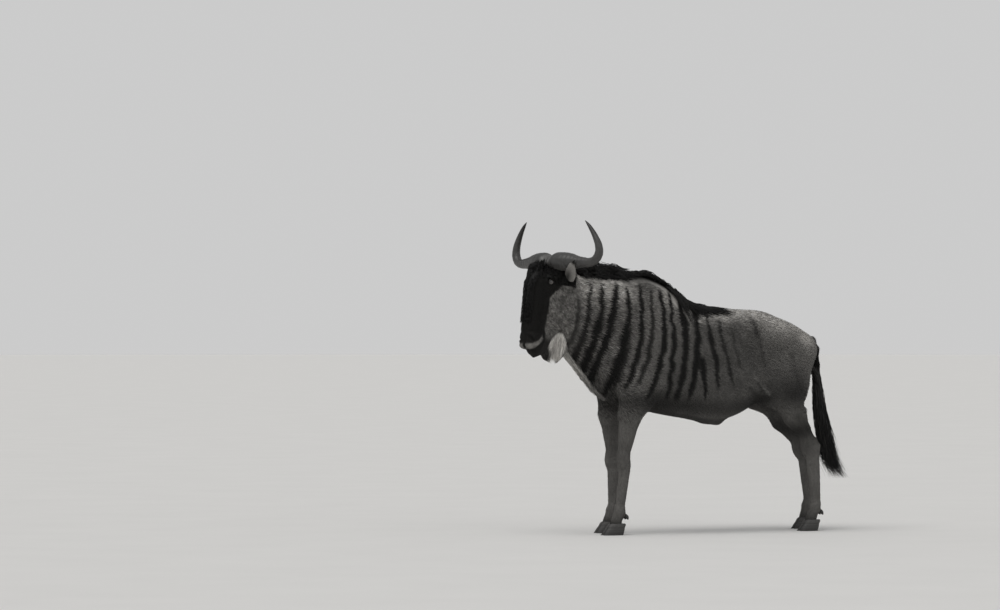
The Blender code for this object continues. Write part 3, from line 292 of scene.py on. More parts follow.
def from_face(q):
    return np.array(HEAD_ROOT) + np.asarray(q, float) @ FACE_AXES.T


def from_skull(q):
    return np.array(HEAD_ROOT) + np.asarray(q, float) @ SKULL_AXES.T


def head_field(p):
    q = (p - np.array(HEAD_ROOT)) @ FACE_AXES
    a, t, s = q.T
    q = np.stack([np.abs(a), t, s], 1)
    a = q[:, 0]
    sc = np.clip(s, POLL_SECTION[0], CHIN_SECTION[0])
    front, back, width = head_sections(sc).T
    half, mid = (front - back) / 2, (front + back) / 2
    z = (t - mid) / half
    w = width * (1.0 - 0.10 * np.clip(z, -1.2, 1.2) - 0.10 * np.clip(-z - 0.2, 0, 1.2))
    rho = ((a / w) ** 2.5 + np.abs(z) ** 2.5) ** 0.4 + 1e-6
    d = np.hypot(a, t - mid) * (1.0 - 1.0 / rho)
    beyond = np.abs(s - sc)
    d = np.where(beyond > 0, np.hypot(np.maximum(d, 0), beyond) + np.minimum(d, 0), d) + 0.3 * beyond
    d = smin(d, egg(q, (0.030, -0.080, 0.022), (0.055, 0.064, 0.046)), 0.025)  # crown
    d = smin(d, egg(q, (0.0, 0.000, 0.118), (0.070, 0.070, 0.074)), 0.025)  # forehead
    d = smin(d, limb(q, (0.0, 0.022, 0.145), 0.050, (0.0, 0.002, 0.355), 0.041, flat=1.1), 0.03)  # bridge
    d = smin(d, egg(q, (0.060, 0.002, 0.107), (0.0255, 0.0340, 0.0360)), 0.018)  # orbit
    d = smin(d, limb(q, (0.060, 0.018, 0.083), 0.015, (0.071, -0.016, 0.078), 0.013), 0.012)  # brow
    d = smin(d, limb(q, (0.068, -0.024, 0.132), 0.015, (0.074, -0.104, 0.105), 0.017), 0.02)  # cheek bone
    d = smin(d, egg(q, (0.040, -0.125, 0.200), (0.042, 0.068, 0.088)), 0.04)  # jaw muscle
    d = smin(d, egg(q, (0.026, -0.034, 0.402), (0.0290, 0.0500, 0.0420)), 0.016)  # muzzle
    d = smin(d, egg(q, (0.033, -0.002, 0.400), (0.0180, 0.0250, 0.0280)), 0.010)  # nostril wing
    d = smin(d, egg(q, (0.020, -0.012, 0.440), (0.0310, 0.0270, 0.0195)), 0.012)  # upper lip
    d = smin(d, egg(q, (0.008, -0.060, 0.452), (0.0280, 0.0310, 0.0230)), 0.012)  # chin
    d = smax(d, -egg(q, (0.0400, 0.020, 0.404), (0.0090, 0.0110, 0.0140)), 0.008)  # nostril
    return d


def body_field(p):
    """Everything of flesh in one rounded form: below zero inside."""
    d = smin(trunk_field(p), neck_field(p), 0.07)
    for leg in (FORE_LEFT, FORE_RIGHT):
        d = smin(d, fore_field(p, leg), 0.045)
    for leg in (HIND_LEFT, HIND_RIGHT):
        d = smin(d, hind_field(p, leg), 0.050)
    d = smin(d, limb(p, (0.0, 0.030, 0.600), 0.034, (0.0, 0.098, 0.578), 0.027), 0.05)  # sheath
    for a, b, ra, rb in zip(TAIL_LINE, TAIL_LINE[1:], TAIL_RADII, TAIL_RADII[1:]):
        d = smin(d, limb(p, a, ra, b, rb), 0.020)
    near = p[:, 1] < -0.62
    if near.any():
        d[near] = smin(d[near], head_field(p[near]), 0.045)
    return d


def settle(points, field, steps=5, reach=0.02):
    """Moves points onto the zero surface of a field."""
    points = points.copy()
    e = 0.0008
    for _ in range(steps):
        f = field(points)
        g = np.stack([field(points + e * axis) - f for axis in np.eye(3)], 1) / e
        move = -f[:, None] * g / np.maximum((g * g).sum(1), 0.05)[:, None]
        size = np.sqrt((move**2).sum(1))[:, None]
        points += move * np.minimum(1.0, reach / np.maximum(size, 1e-9))
    return points


def rough_body():
    """Balls along every bone, as a start for the rounded body."""
    bm = []
    for i in range(26):
        y = CREST[0] + 0.06 + (DOCK[0] - 0.05 - CREST[0]) * i / 26
        yy = np.array([y])
        top, low, width = top_line(yy)[0, 0], under_line(yy)[0, 0], trunk_width(yy)[0, 0]
        bm.append(((0, y, (top + low) / 2), (width * 0.85, 0.06, (top - low) / 2 * 0.96)))
    rod(bm, (0.0, -0.45, 1.0), 0.14, (0.03, -0.78, 1.15), 0.10)
    rod(bm, (0.0, -0.45, 1.15), 0.12, (0.02, -0.76, 1.24), 0.07)
    rod(bm, (0.0, -0.50, 0.85), 0.11, (0.03, -0.74, 1.02), 0.08)
    rod(bm, from_face((0, -0.07, 0.03)), 0.07, from_face((0, -0.05, 0.20)), 0.06)
    rod(bm, from_face((0, -0.04, 0.20)), 0.055, from_face((0, -0.035, 0.45)), 0.045)
    rod(bm, from_face((0, -0.13, 0.10)), 0.055, from_face((0, -0.13, 0.24)), 0.055)
    rod(bm, from_face((0, -0.12, 0.24)), 0.05, from_face((0, -0.07, 0.46)), 0.03)
    for leg in (FORE_LEFT, FORE_RIGHT):
        m = Vector((leg["side"], 1, 1))
        at = {n: Vector(leg[n]) * m for n in ("shoulder", "elbow", "forearm", "knee", "fetlock", "foot")}
        rod(bm, Vector((0.08, -0.33, 1.10)) * m, 0.08, at["shoulder"], 0.07)
        rod(bm, at["shoulder"], 0.07, at["elbow"], 0.055)
        rod(bm, at["elbow"], 0.055, at["forearm"], 0.048)
        rod(bm, at["forearm"], 0.046, at["knee"], 0.032)
        rod(bm, at["knee"], 0.032, at["fetlock"], 0.024)
        rod(bm, at["fetlock"], 0.026, at["foot"] + Vector((0, 0.01, CORONET)), 0.028)
    for leg in (HIND_LEFT, HIND_RIGHT):
        m = Vector((leg["side"], 1, 1))
        at = {n: Vector(leg[n]) * m for n in ("hip", "stifle", "gaskin", "hock", "fetlock", "foot")}
        rod(bm, at["hip"], 0.11, at["stifle"], 0.06)
        rod(bm, Vector((0.09, 0.53, 0.93)) * m, 0.08, Vector((0.10, 0.49, 0.70)) * m, 0.06)
        rod(bm, at["stifle"] + Vector((0, 0.06, 0)), 0.06, at["gaskin"], 0.05)
        rod(bm, at["gaskin"], 0.048, at["hock"], 0.036)
        rod(bm, at["hock"], 0.034, at["fetlock"], 0.026)
        rod(bm, at["fetlock"], 0.028, at["foot"] + Vector((0, 0.01, CORONET)), 0.028)
    for a, b, ra, rb in zip(TAIL_LINE, TAIL_LINE[1:], TAIL_RADII, TAIL_RADII[1:]):
        rod(bm, a, ra, b, rb)
    return bm


# ---------------------------------------------------------------- outlines of the hair masses
MANE_NECK = (((0.034, -0.800, 1.335), 0.052), ((0.022, -0.700, 1.340), 0.054), ((0.012, -0.600, 1.336), 0.052),
             ((0.006, -0.530, 1.336), 0.050), ((0.004, -0.480, 1.310), 0.044), ((0.0, -0.430, 1.302), 0.042))
MANE_WITHERS = (((0.0, -0.430, 1.302), 0.042), ((0.002, -0.345, 1.314), 0.042), ((0.004, -0.260, 1.280), 0.038),
                ((0.006, -0.170, 1.228), 0.033), ((0.008, -0.080, 1.174), 0.025), ((0.010, 0.030, 1.150), 0.014))
MANE_FALL = (((-0.290, 1.282), (-0.215, 1.200), (-0.150, 1.092)),
             ((-0.225, 1.246), (-0.150, 1.170), (-0.080, 1.084)))  # locks over the left shoulder, as (Y, Z)
FALL_RADII = (0.034, 0.032, 0.020)
FALL_DEPTH = 0.013
MANE_SIDE = (((0.058, -0.780, 1.290), 0.040), ((0.044, -0.600, 1.290), 0.040), ((0.040, -0.420, 1.276), 0.038),
             ((0.036, -0.300, 1.262), 0.034))


def beside(y, z, depth):
    """The point this far under the left flank at this place."""
    x = np.linspace(0.0, 0.26, 131)
    inside = body_field(np.stack([x, np.full_like(x, y), np.full_like(x, z)], 1)) < -depth
    return (float(x[inside].max()) if inside.any() else 0.0, y, z)


def falls():
    return [[(beside(y, z, FALL_DEPTH), r) for (y, z), r in zip(line, FALL_RADII)] for line in MANE_FALL]


def strand(p, line, **how):
    d = None
    for (a, ra), (b, rb) in zip(line, line[1:]):
        e = limb(p, a, ra, b, rb, **how)
        d = e if d is None else smin(d, e, 0.02)
    return d


FALLS = falls()


def mane_field(p):
    d = smin(strand(p, MANE_NECK), strand(p, MANE_WITHERS), 0.02)
    right = [((0.04 - x, y, z), r) for (x, y, z), r in MANE_SIDE]
    d = smin(d, smin(strand(p, MANE_SIDE), strand(p, right), 0.03), 0.03)
    for line in FALLS:
        d = smin(d, strand(p, line), 0.03)
    return d


FORELOCK = (((-0.044, 0.002, -0.010), 0.028), ((-0.032, 0.026, 0.030), 0.030), ((-0.012, 0.044, 0.075), 0.027),
            ((-0.004, 0.056, 0.120), 0.022), ((0.0, 0.062, 0.165), 0.014))  # (across, forward, down the face)


def forelock_field(p):
    q = (p - np.array(HEAD_ROOT)) @ FACE_AXES
    return strand(q, FORELOCK, flat=1.3)


# Beard: hangs from the chin and throat, (across, forward, down the face) on the head.
BEARD_JAW = (((0.0, -0.112, 0.410), 0.026), ((0.0, -0.155, 0.385), 0.040), ((0.0, -0.190, 0.350), 0.042),
             ((0.0, -0.220, 0.315), 0.042))
BEARD_TIPS = (((0.0, -0.155, 0.450), 0.014), ((0.0, -0.200, 0.440), 0.022), ((0.0, -0.245, 0.380), 0.024))
BEARD_THROAT = (((0.030, -0.730, 0.965), 0.042), ((0.018, -0.695, 0.885), 0.032), ((0.006, -0.630, 0.800), 0.026),
                ((0.0, -0.572, 0.722), 0.018))


def beard_field(p):
    q = (p - np.array(HEAD_ROOT)) @ FACE_AXES
    d = smin(strand(q, BEARD_JAW, flat=0.85), strand(q, BEARD_TIPS, flat=0.7), 0.05)
    return smin(d, strand(p, BEARD_THROAT, flat=0.8), 0.03)


TAIL_TUFT = (((0.0, 0.688, 0.800), 0.021), ((0.0, 0.697, 0.700), 0.029), ((0.0, 0.712, 0.600), 0.037),
             ((0.0, 0.735, 0.480), 0.043), ((0.0, 0.762, 0.380), 0.045), ((0.0, 0.800, 0.310), 0.032),
             ((0.0, 0.848, 0.268), 0.014))
TUFT_LOW = (((0.0, 0.735, 0.480), 0.040), ((0.0, 0.738, 0.370), 0.037), ((0.0, 0.774, 0.280), 0.024))
TUFT_REAR = (((0.0, 0.765, 0.410), 0.036), ((0.0, 0.838, 0.330), 0.020))


def tuft_field(p):
    d = smin(strand(p, TAIL_TUFT, flat=0.8), strand(p, TUFT_LOW, flat=0.8), 0.02)
    return smin(d, strand(p, TUFT_REAR, flat=0.8), 0.02)


# ---------------------------------------------------------------- small tools
def step(x, a, b):
    """Smooth step from 0 at a to 1 at b."""
    u = np.clip((x - a) / (b - a), 0.0, 1.0)
    return u * u * (3.0 - 2.0 * u)


def unit(v):
    return v / np.maximum(np.sqrt((v * v).sum(-1, keepdims=True)), 1e-9)


def lattice(i, seed):
    h = (i[:, 0] * 73856093) ^ (i[:, 1] * 19349663) ^ (i[:, 2] * 83492791) ^ (seed * 2654435761)
    h = (h ^ (h >> 13)) & 0xFFFFFFFF
    h = (h * 1274126177) & 0xFFFFFFFF
    return ((h ^ (h >> 16)) & 0xFFFFFF) / float(0xFFFFFF)


def noise(p, size, seed=1):
    """Smooth value noise, 0 to 1, with blobs of about this size."""
    q = np.asarray(p, float) / size
    i = np.floor(q).astype(np.int64)
    f = q - i
    f = f * f * (3.0 - 2.0 * f)
    total = np.zeros(len(q))
    for dx in (0, 1):
        for dy in (0, 1):
            for dz in (0, 1):
                w = (f[:, 0] if dx else 1 - f[:, 0]) * (f[:, 1] if dy else 1 - f[:, 1]) * (f[:, 2] if dz else 1 - f[:, 2])
                total += w * lattice(i + (dx, dy, dz), seed)
    return total


def lerp(a, b, u):
    return a + (b - a) * u


def face_of(p):
    """(across, forward, down the face) of points in the body frame."""
    return (p - np.array(HEAD_ROOT)) @ FACE_AXES


def headness(p):
    """1 on the head, 0 behind it."""
    q = face_of(p)
    return step(q[:, 1] * 0.963 + q[:, 2] * 0.271 + 0.1354, -0.030, 0.020) * (p[:, 1] < -0.60)


# ---------------------------------------------------------------- skin, inside the coat's outline
GAZE = np.array((0.905, 0.400, -0.060)) / np.linalg.norm((0.905, 0.400, -0.060))
SLIT = np.array((0.0, 0.150, 0.989))
SLIT = (SLIT - GAZE * (SLIT @ GAZE)) / np.linalg.norm(SLIT - GAZE * (SLIT @ GAZE))
LIDWARD = np.cross(SLIT, GAZE)
EYEBALL = 0.0200


def coat_depth(p):
    """How far the skin lies under the outline of the coat."""
    head = headness(p)
    q = face_of(p)
    leg = 1.0 - step(p[:, 2], 0.56, 0.74)
    depth = lerp(0.0060, 0.0028, leg)
    depth = lerp(depth, 0.0032, head)
    muzzle = step(q[:, 2], 0.36, 0.41) * head
    depth = lerp(depth, 0.0010, muzzle)
    eye = np.stack([np.abs(q[:, 0]), q[:, 1], q[:, 2]], 1) - np.array(EYE_AT)
    near = 1.0 - step(np.sqrt((eye**2).sum(1)), 0.026, 0.050)
    return lerp(depth, 0.0012, near * head)


def relief(p):
    """Soft modelling of muscle and bone under the skin: metres to push out."""
    x, y, z = np.abs(p[:, 0]), p[:, 1], p[:, 2]
    flank = step(x, 0.08, 0.15) * step(z, 0.62, 0.72) * (1 - step(z, 1.04, 1.14))
    ribs = np.sin((y + 0.30 * (z - 0.9)) * 2 * math.pi / 0.048) * step(y, -0.24, -0.12) * (1 - step(y, 0.10, 0.22))
    out = 0.0013 * ribs * flank

    def ridge(a, b, r, height):
        a, b = np.array(a), np.array(b)
        q = np.stack([x, y, z], 1)
        u = np.clip(((q - a) @ (b - a)) / ((b - a) @ (b - a)), 0, 1)
        dist = np.sqrt(((q - a - u[:, None] * (b - a)) ** 2).sum(1))
        return height * np.exp(-((dist / r) ** 2))

    out += ridge((0.10, -0.335, 1.19), (0.17, -0.475, 0.90), 0.030, 0.0096)  # shoulder blade
    out -= ridge((0.17, -0.300, 1.06), (0.17, -0.330, 0.80), 0.034, 0.0096)  # behind the shoulder
    out += ridge((0.17, -0.505, 0.86), (0.16, -0.380, 0.77), 0.042, 0.0096)  # triceps
    out -= ridge((0.16, -0.560, 0.90), (0.12, -0.620, 1.10), 0.030, 0.0080)  # in front of the shoulder
    out += ridge((0.10, -0.700, 1.00), (0.10, -0.560, 0.83), 0.030, 0.0072)  # neck muscle
    out += ridge((0.120, 0.215, 1.085), (0.135, 0.250, 1.020), 0.026, 0.0128)  # point of the hip
    out -= ridge((0.190, 0.150, 1.020), (0.180, 0.215, 0.860), 0.040, 0.0144)  # hollow of the flank
    out -= ridge((0.120, 0.380, 1.030), (0.150, 0.330, 0.930), 0.030, 0.0056)
    out += ridge((0.180, 0.190, 0.770), (0.190, 0.290, 0.700), 0.016, 0.0144)  # fold of the flank
    out -= ridge((0.185, 0.215, 0.820), (0.200, 0.300, 0.745), 0.018, 0.0096)
    out -= ridge((0.185, 0.150, 0.730), (0.175, 0.235, 0.690), 0.018, 0.0088)
    out += ridge((0.150, 0.500, 0.960), (0.140, 0.560, 0.760), 0.045, 0.0088)  # ham
    out -= ridge((0.155, 0.430, 0.900), (0.145, 0.500, 0.700), 0.026, 0.0088)
    out -= ridge((0.110, 0.470, 0.560), (0.100, 0.560, 0.470), 0.016, 0.0080)  # before the hamstring
    out -= ridge((0.160, -0.415, 0.640), (0.130, -0.450, 0.420), 0.012, 0.0040)  # forearm
    return out


def skin_field(p):
    """The skin: the body's field, drawn in by the coat, with lids, nostrils, lips and folds."""
    d = body_field(p) + coat_depth(p) - relief(p)
    near = np.flatnonzero(p[:, 1] < -0.72)
    if not len(near):
        return d
    q = face_of(p[near])
    q = np.stack([np.abs(q[:, 0]), q[:, 1], q[:, 2]], 1)
    e = d[near]
    # lids: a thick shell over the eyeball, with an almond opening
    eye = np.array(EYE_AT)
    r = np.sqrt(((q - eye) ** 2).sum(1))
    e = smin(e, r - (EYEBALL + 0.0032), 0.006)
    local = (q - (eye + GAZE * 0.0215))
    u, v, w = local @ SLIT, local @ LIDWARD, local @ GAZE
    pointed = np.sqrt((u / 0.0190) ** 2 + (v / (0.0118 * np.clip(1.0 - 0.55 * (u / 0.0190) ** 2, 0.2, 1.0))) ** 2 + (w / 0.0150) ** 2)
    e = smax(e, -(pointed - 1.0) * 0.0105, 0.0016)
    # upper lid's fold, tear groove and brow
    e = smax(e, -(limb(q, eye + GAZE * 0.0215 + LIDWARD * 0.0165 + SLIT * -0.010, 0.0016,
                       eye + GAZE * 0.0215 + LIDWARD * 0.0160 + SLIT * 0.011, 0.0014)), 0.004)
    e = smax(e, -(limb(q, eye + GAZE * 0.018 + SLIT * 0.022, 0.0022, (0.066, 0.020, 0.160), 0.0030)), 0.006)
    e = smin(e, limb(q, eye + LIDWARD * 0.026 + SLIT * -0.022 + GAZE * 0.010, 0.0070,
                     eye + LIDWARD * 0.026 + SLIT * 0.016 + GAZE * 0.006, 0.0060), 0.012)
    # nostril: a comma that opens forward and outward, with a raised rim
    e = smin(e, limb(q, (0.0240, 0.020, 0.388), 0.0060, (0.0480, -0.004, 0.400), 0.0070), 0.010)
    e = smin(e, limb(q, (0.0480, -0.004, 0.400), 0.0060, (0.0440, 0.002, 0.424), 0.0050), 0.010)
    e = smax(e, -limb(q, (0.0240, 0.028, 0.402), 0.0050, (0.0420, 0.012, 0.408), 0.0080), 0.004)
    e = smax(e, -limb(q, (0.0420, 0.012, 0.408), 0.0070, (0.0470, -0.006, 0.420), 0.0035), 0.004)
    # cleft of the upper lip, the line of the mouth, and its corner
    e = smax(e, -limb(q, (0.0, 0.030, 0.425), 0.0014, (0.0, 0.014, 0.462), 0.0016), 0.004)
    e = smax(e, -limb(q, (0.0, -0.024, 0.470), 0.0030, (0.030, -0.034, 0.452), 0.0030), 0.004)
    e = smax(e, -limb(q, (0.030, -0.034, 0.452), 0.0030, (0.050, -0.066, 0.408), 0.0026), 0.004)
    e = smin(e, limb(q, (0.051, -0.060, 0.392), 0.0060, (0.052, -0.074, 0.404), 0.0050), 0.008)
    # jaw bone's rear edge and the cheek's ridge
    e = smax(e, -limb(q, (0.066, -0.165, 0.130), 0.0030, (0.056, -0.175, 0.260), 0.0030), 0.012)
    e = smin(e, limb(q, (0.052, -0.020, 0.190), 0.0080, (0.046, -0.030, 0.300), 0.0070), 0.014)
    d[near] = e
    return d


def heap(name, balls):
    """One mesh of overlapping balls, all copies of a single icosphere."""
    bm = bmesh.new()
    bmesh.ops.create_icosphere(bm, subdivisions=2, radius=1.0)
    ball = np.array([v.co for v in bm.verts])
    faces = np.array([[v.index for v in f.verts] for f in bm.faces])
    bm.free()
    points = np.concatenate([ball * np.array(radii) + np.array(centre) for centre, radii in balls])
    turns = np.concatenate([faces + len(ball) * i for i in range(len(balls))])
    mesh = bpy.data.meshes.new(name)
    mesh.from_pydata(points.tolist(), [], turns.tolist())
    obj = bpy.data.objects.new(name, mesh)
    bpy.context.scene.collection.objects.link(obj)
    return obj


def rod(balls, a, ra, b, rb):
    """Balls along a line, close enough to overlap well: (centre, radii)."""
    a, b = Vector(a), Vector(b)
    n = max(2, int((b - a).length / (0.6 * min(ra, rb))) + 1)
    for i in range(n):
        u = i / (n - 1)
        balls.append((a.lerp(b, u), (ra + (rb - ra) * u,) * 3))


def baked(obj):
    """The object's modifiers made part of its mesh."""
    bpy.context.view_layer.update()
    graph = bpy.context.evaluated_depsgraph_get()
    mesh = bpy.data.meshes.new_from_object(obj.evaluated_get(graph))
    old = obj.data
    obj.modifiers.clear()
    obj.data = mesh
    bpy.data.meshes.remove(old)
    return obj


def remeshed(obj, voxel):
    mod = obj.modifiers.new("skin", "REMESH")
    mod.mode = "VOXEL"
    mod.voxel_size = voxel
    mod.adaptivity = 0.0
    return baked(obj)


def points_of(mesh):
    co = np.empty(len(mesh.vertices) * 3, np.float32)
    mesh.vertices.foreach_get("co", co)
    return co.reshape(-1, 3).astype(float)


def set_points(mesh, points):
    mesh.vertices.foreach_set("co", points.astype(np.float32).ravel())
    mesh.update()


def relax(mesh, rounds, keep=None):
    """Evens the spacing of the vertices."""
    points = points_of(mesh)
    edges = np.empty(len(mesh.edges) * 2, np.int32)
    mesh.edges.foreach_get("vertices", edges)
    edges = edges.reshape(-1, 2)
    count = np.bincount(edges.ravel(), minlength=len(points)).astype(float)[:, None]
    for _ in range(rounds):
        total = np.zeros_like(points)
        for k in range(3):
            total[:, k] = (np.bincount(edges[:, 0], points[edges[:, 1], k], len(points))
                           + np.bincount(edges[:, 1], points[edges[:, 0], k], len(points)))
        moved = lerp(points, total / np.maximum(count, 1), 0.5)
        points = moved if keep is None else np.where(keep[:, None], points, moved)
    set_points(mesh, points)


def finer(mesh, chosen):
    """Splits the chosen faces in four."""
    bm = bmesh.new()
    bm.from_mesh(mesh)
    bm.faces.ensure_lookup_table()
    picked = chosen(np.array([f.calc_center_median() for f in bm.faces]))
    edges = {e for i in np.flatnonzero(picked) for e in bm.faces[i].edges}
    bmesh.ops.subdivide_edges(bm, edges=list(edges), cuts=1, use_grid_fill=True)
    bmesh.ops.triangulate(bm, faces=[f for f in bm.faces if len(f.verts) > 4])
    bm.to_mesh(mesh)
    bm.free()


SKIN_VOXEL = 0.0088


def make_skin():
    obj = remeshed(heap("wildebeest_skin", rough_body()), 0.0125)
    relax(obj.data, 2)
    set_points(obj.data, settle(points_of(obj.data), body_field, 4))
    obj = remeshed(obj, SKIN_VOXEL)
    relax(obj.data, 2)
    set_points(obj.data, settle(points_of(obj.data), skin_field, 4))
    obj = remeshed(obj, SKIN_VOXEL)
    relax(obj.data, 1)
    set_points(obj.data, settle(points_of(obj.data), skin_field, 3))
    finer(obj.data, lambda c: headness(c) > 0.3)

    def fine(c):
        q = face_of(c)
        q[:, 0] = np.abs(q[:, 0])
        eye = np.sqrt(((q - np.array(EYE_AT)) ** 2).sum(1)) < 0.040
        return (headness(c) > 0.5) & (eye | (q[:, 2] > 0.365))

    relax(obj.data, 1)
    finer(obj.data, fine)
    points = points_of(obj.data)
    head = np.flatnonzero(points[:, 1] < -0.62)
    points[head] = settle(points[head], skin_field, 5, reach=0.006)
    set_points(obj.data, points)
    relax(obj.data, 1, keep=headness(points) < 0.3)
    points = points_of(obj.data)
    points[head] = settle(points[head], skin_field, 4, reach=0.004)
    set_points(obj.data, points)
    return obj


# ---------------------------------------------------------------- markings with painted light and shade, the same for skin and coat
WARM = np.array((1.035, 1.0, 0.945))
# Stripes down each side. Each is a shallow bow: its place at mid height across the flank, how far it leans from
# there to either end, and how far both ends bow, in steps of 5 mm; then half width, strength, lowest and highest z.
STRIPE_STEP = 1 / 194
STRIPE_MIDDLE = 0.99
STRIPE_REACH = 0.26
COURSES = (
    ((-131, 12, -3), 2.4, 0.75, 0.92, 1.30),
    ((-118, 17, -9), 3.4, 0.95, 0.86, 1.29),
    ((-105, 16, -9), 4.3, 1.00, 0.78, 1.29),
    ((-94, 16, -6), 4.5, 1.00, 0.74, 1.29),
    ((-75, 11, -9), 4.4, 1.00, 0.70, 1.27),
    ((-69, 12, -7), 2.0, 0.85, 0.72, 0.97),
    ((-60, 8, -8), 2.9, 1.00, 0.74, 1.28),
    ((-49, 8, -9), 2.4, 0.90, 0.76, 1.26),
    ((-36, 4, -10), 3.2, 1.00, 0.68, 1.25),
    ((-27, 0, -5), 2.8, 1.00, 0.68, 1.24),
    ((-15, -1, -8), 3.5, 1.00, 0.67, 1.20),
    ((-3, -2, -9), 3.2, 1.00, 0.67, 1.19),
    ((1, -2, 2), 2.5, 1.00, 0.68, 0.91),
    ((11, -10, -3), 2.4, 0.95, 0.74, 1.13),
    ((22, -12, 0), 1.8, 0.80, 0.76, 1.10),
    ((33, -12, -1), 1.3, 0.55, 0.84, 1.07),
)
FACE_EDGE = ((0.09, -0.110), (0.100, -0.070), (0.143, -0.042), (0.187, -0.030), (0.24, -0.046), (0.308, -0.054),
             (0.36, -0.070), (0.422, -0.092), (0.47, -0.100))


def stripes(p):
    z = p[:, 2]
    seen = (0.469 * np.abs(p[:, 0]) + 0.883 * p[:, 1]) / STRIPE_STEP + (noise(p, 0.050, 21) - 0.5) * 3.2 + (noise(p, 0.016, 24) - 0.5) * 1.3
    swell = np.interp(z, (0.66, 0.72, 0.85, 1.0, 1.15, 1.26, 1.30), (0.3, 0.75, 1.15, 1.0, 0.74, 0.48, 0.3))
    dark = np.zeros(len(p))
    for i, (course, half, strength, low, high) in enumerate(COURSES):
        place, lean, bow = course
        u = np.clip((z - STRIPE_MIDDLE) / STRIPE_REACH, -1.15, 1.15)
        middle = place + lean * u + bow * u**2
        w = half * swell * (0.74 + 0.52 * noise(p, 0.075, 200 + i))
        one = (1.0 - step(np.abs(seen - middle) / w, 0.72, 1.30)) * strength
        one *= step(z, low - 0.02, low + 0.03) * (1.0 - step(z, high - 0.02, high + 0.015))
        dark = np.maximum(dark, one)
    return dark * step(z, 0.650, 0.700) * (p[:, 1] > -0.90)


def blob(p, y, z, ry, rz):
    return np.exp(-(((p[:, 1] - y) / ry) ** 2) - ((p[:, 2] - z) / rz) ** 2)


def crease_at(q, a, b, r):
    a, b = np.array(a), np.array(b)
    u = np.clip(((q - a) @ (b - a)) / ((b - a) @ (b - a)), 0, 1)
    return np.exp(-(((q - a - u[:, None] * (b - a)) ** 2).sum(1) / r**2))


def crease(p, a, b, r):
    """1 on a line across the side of the body, given as (Y, Z) ends, fading over r."""
    return crease_at(p[:, 1:3], a, b, r)


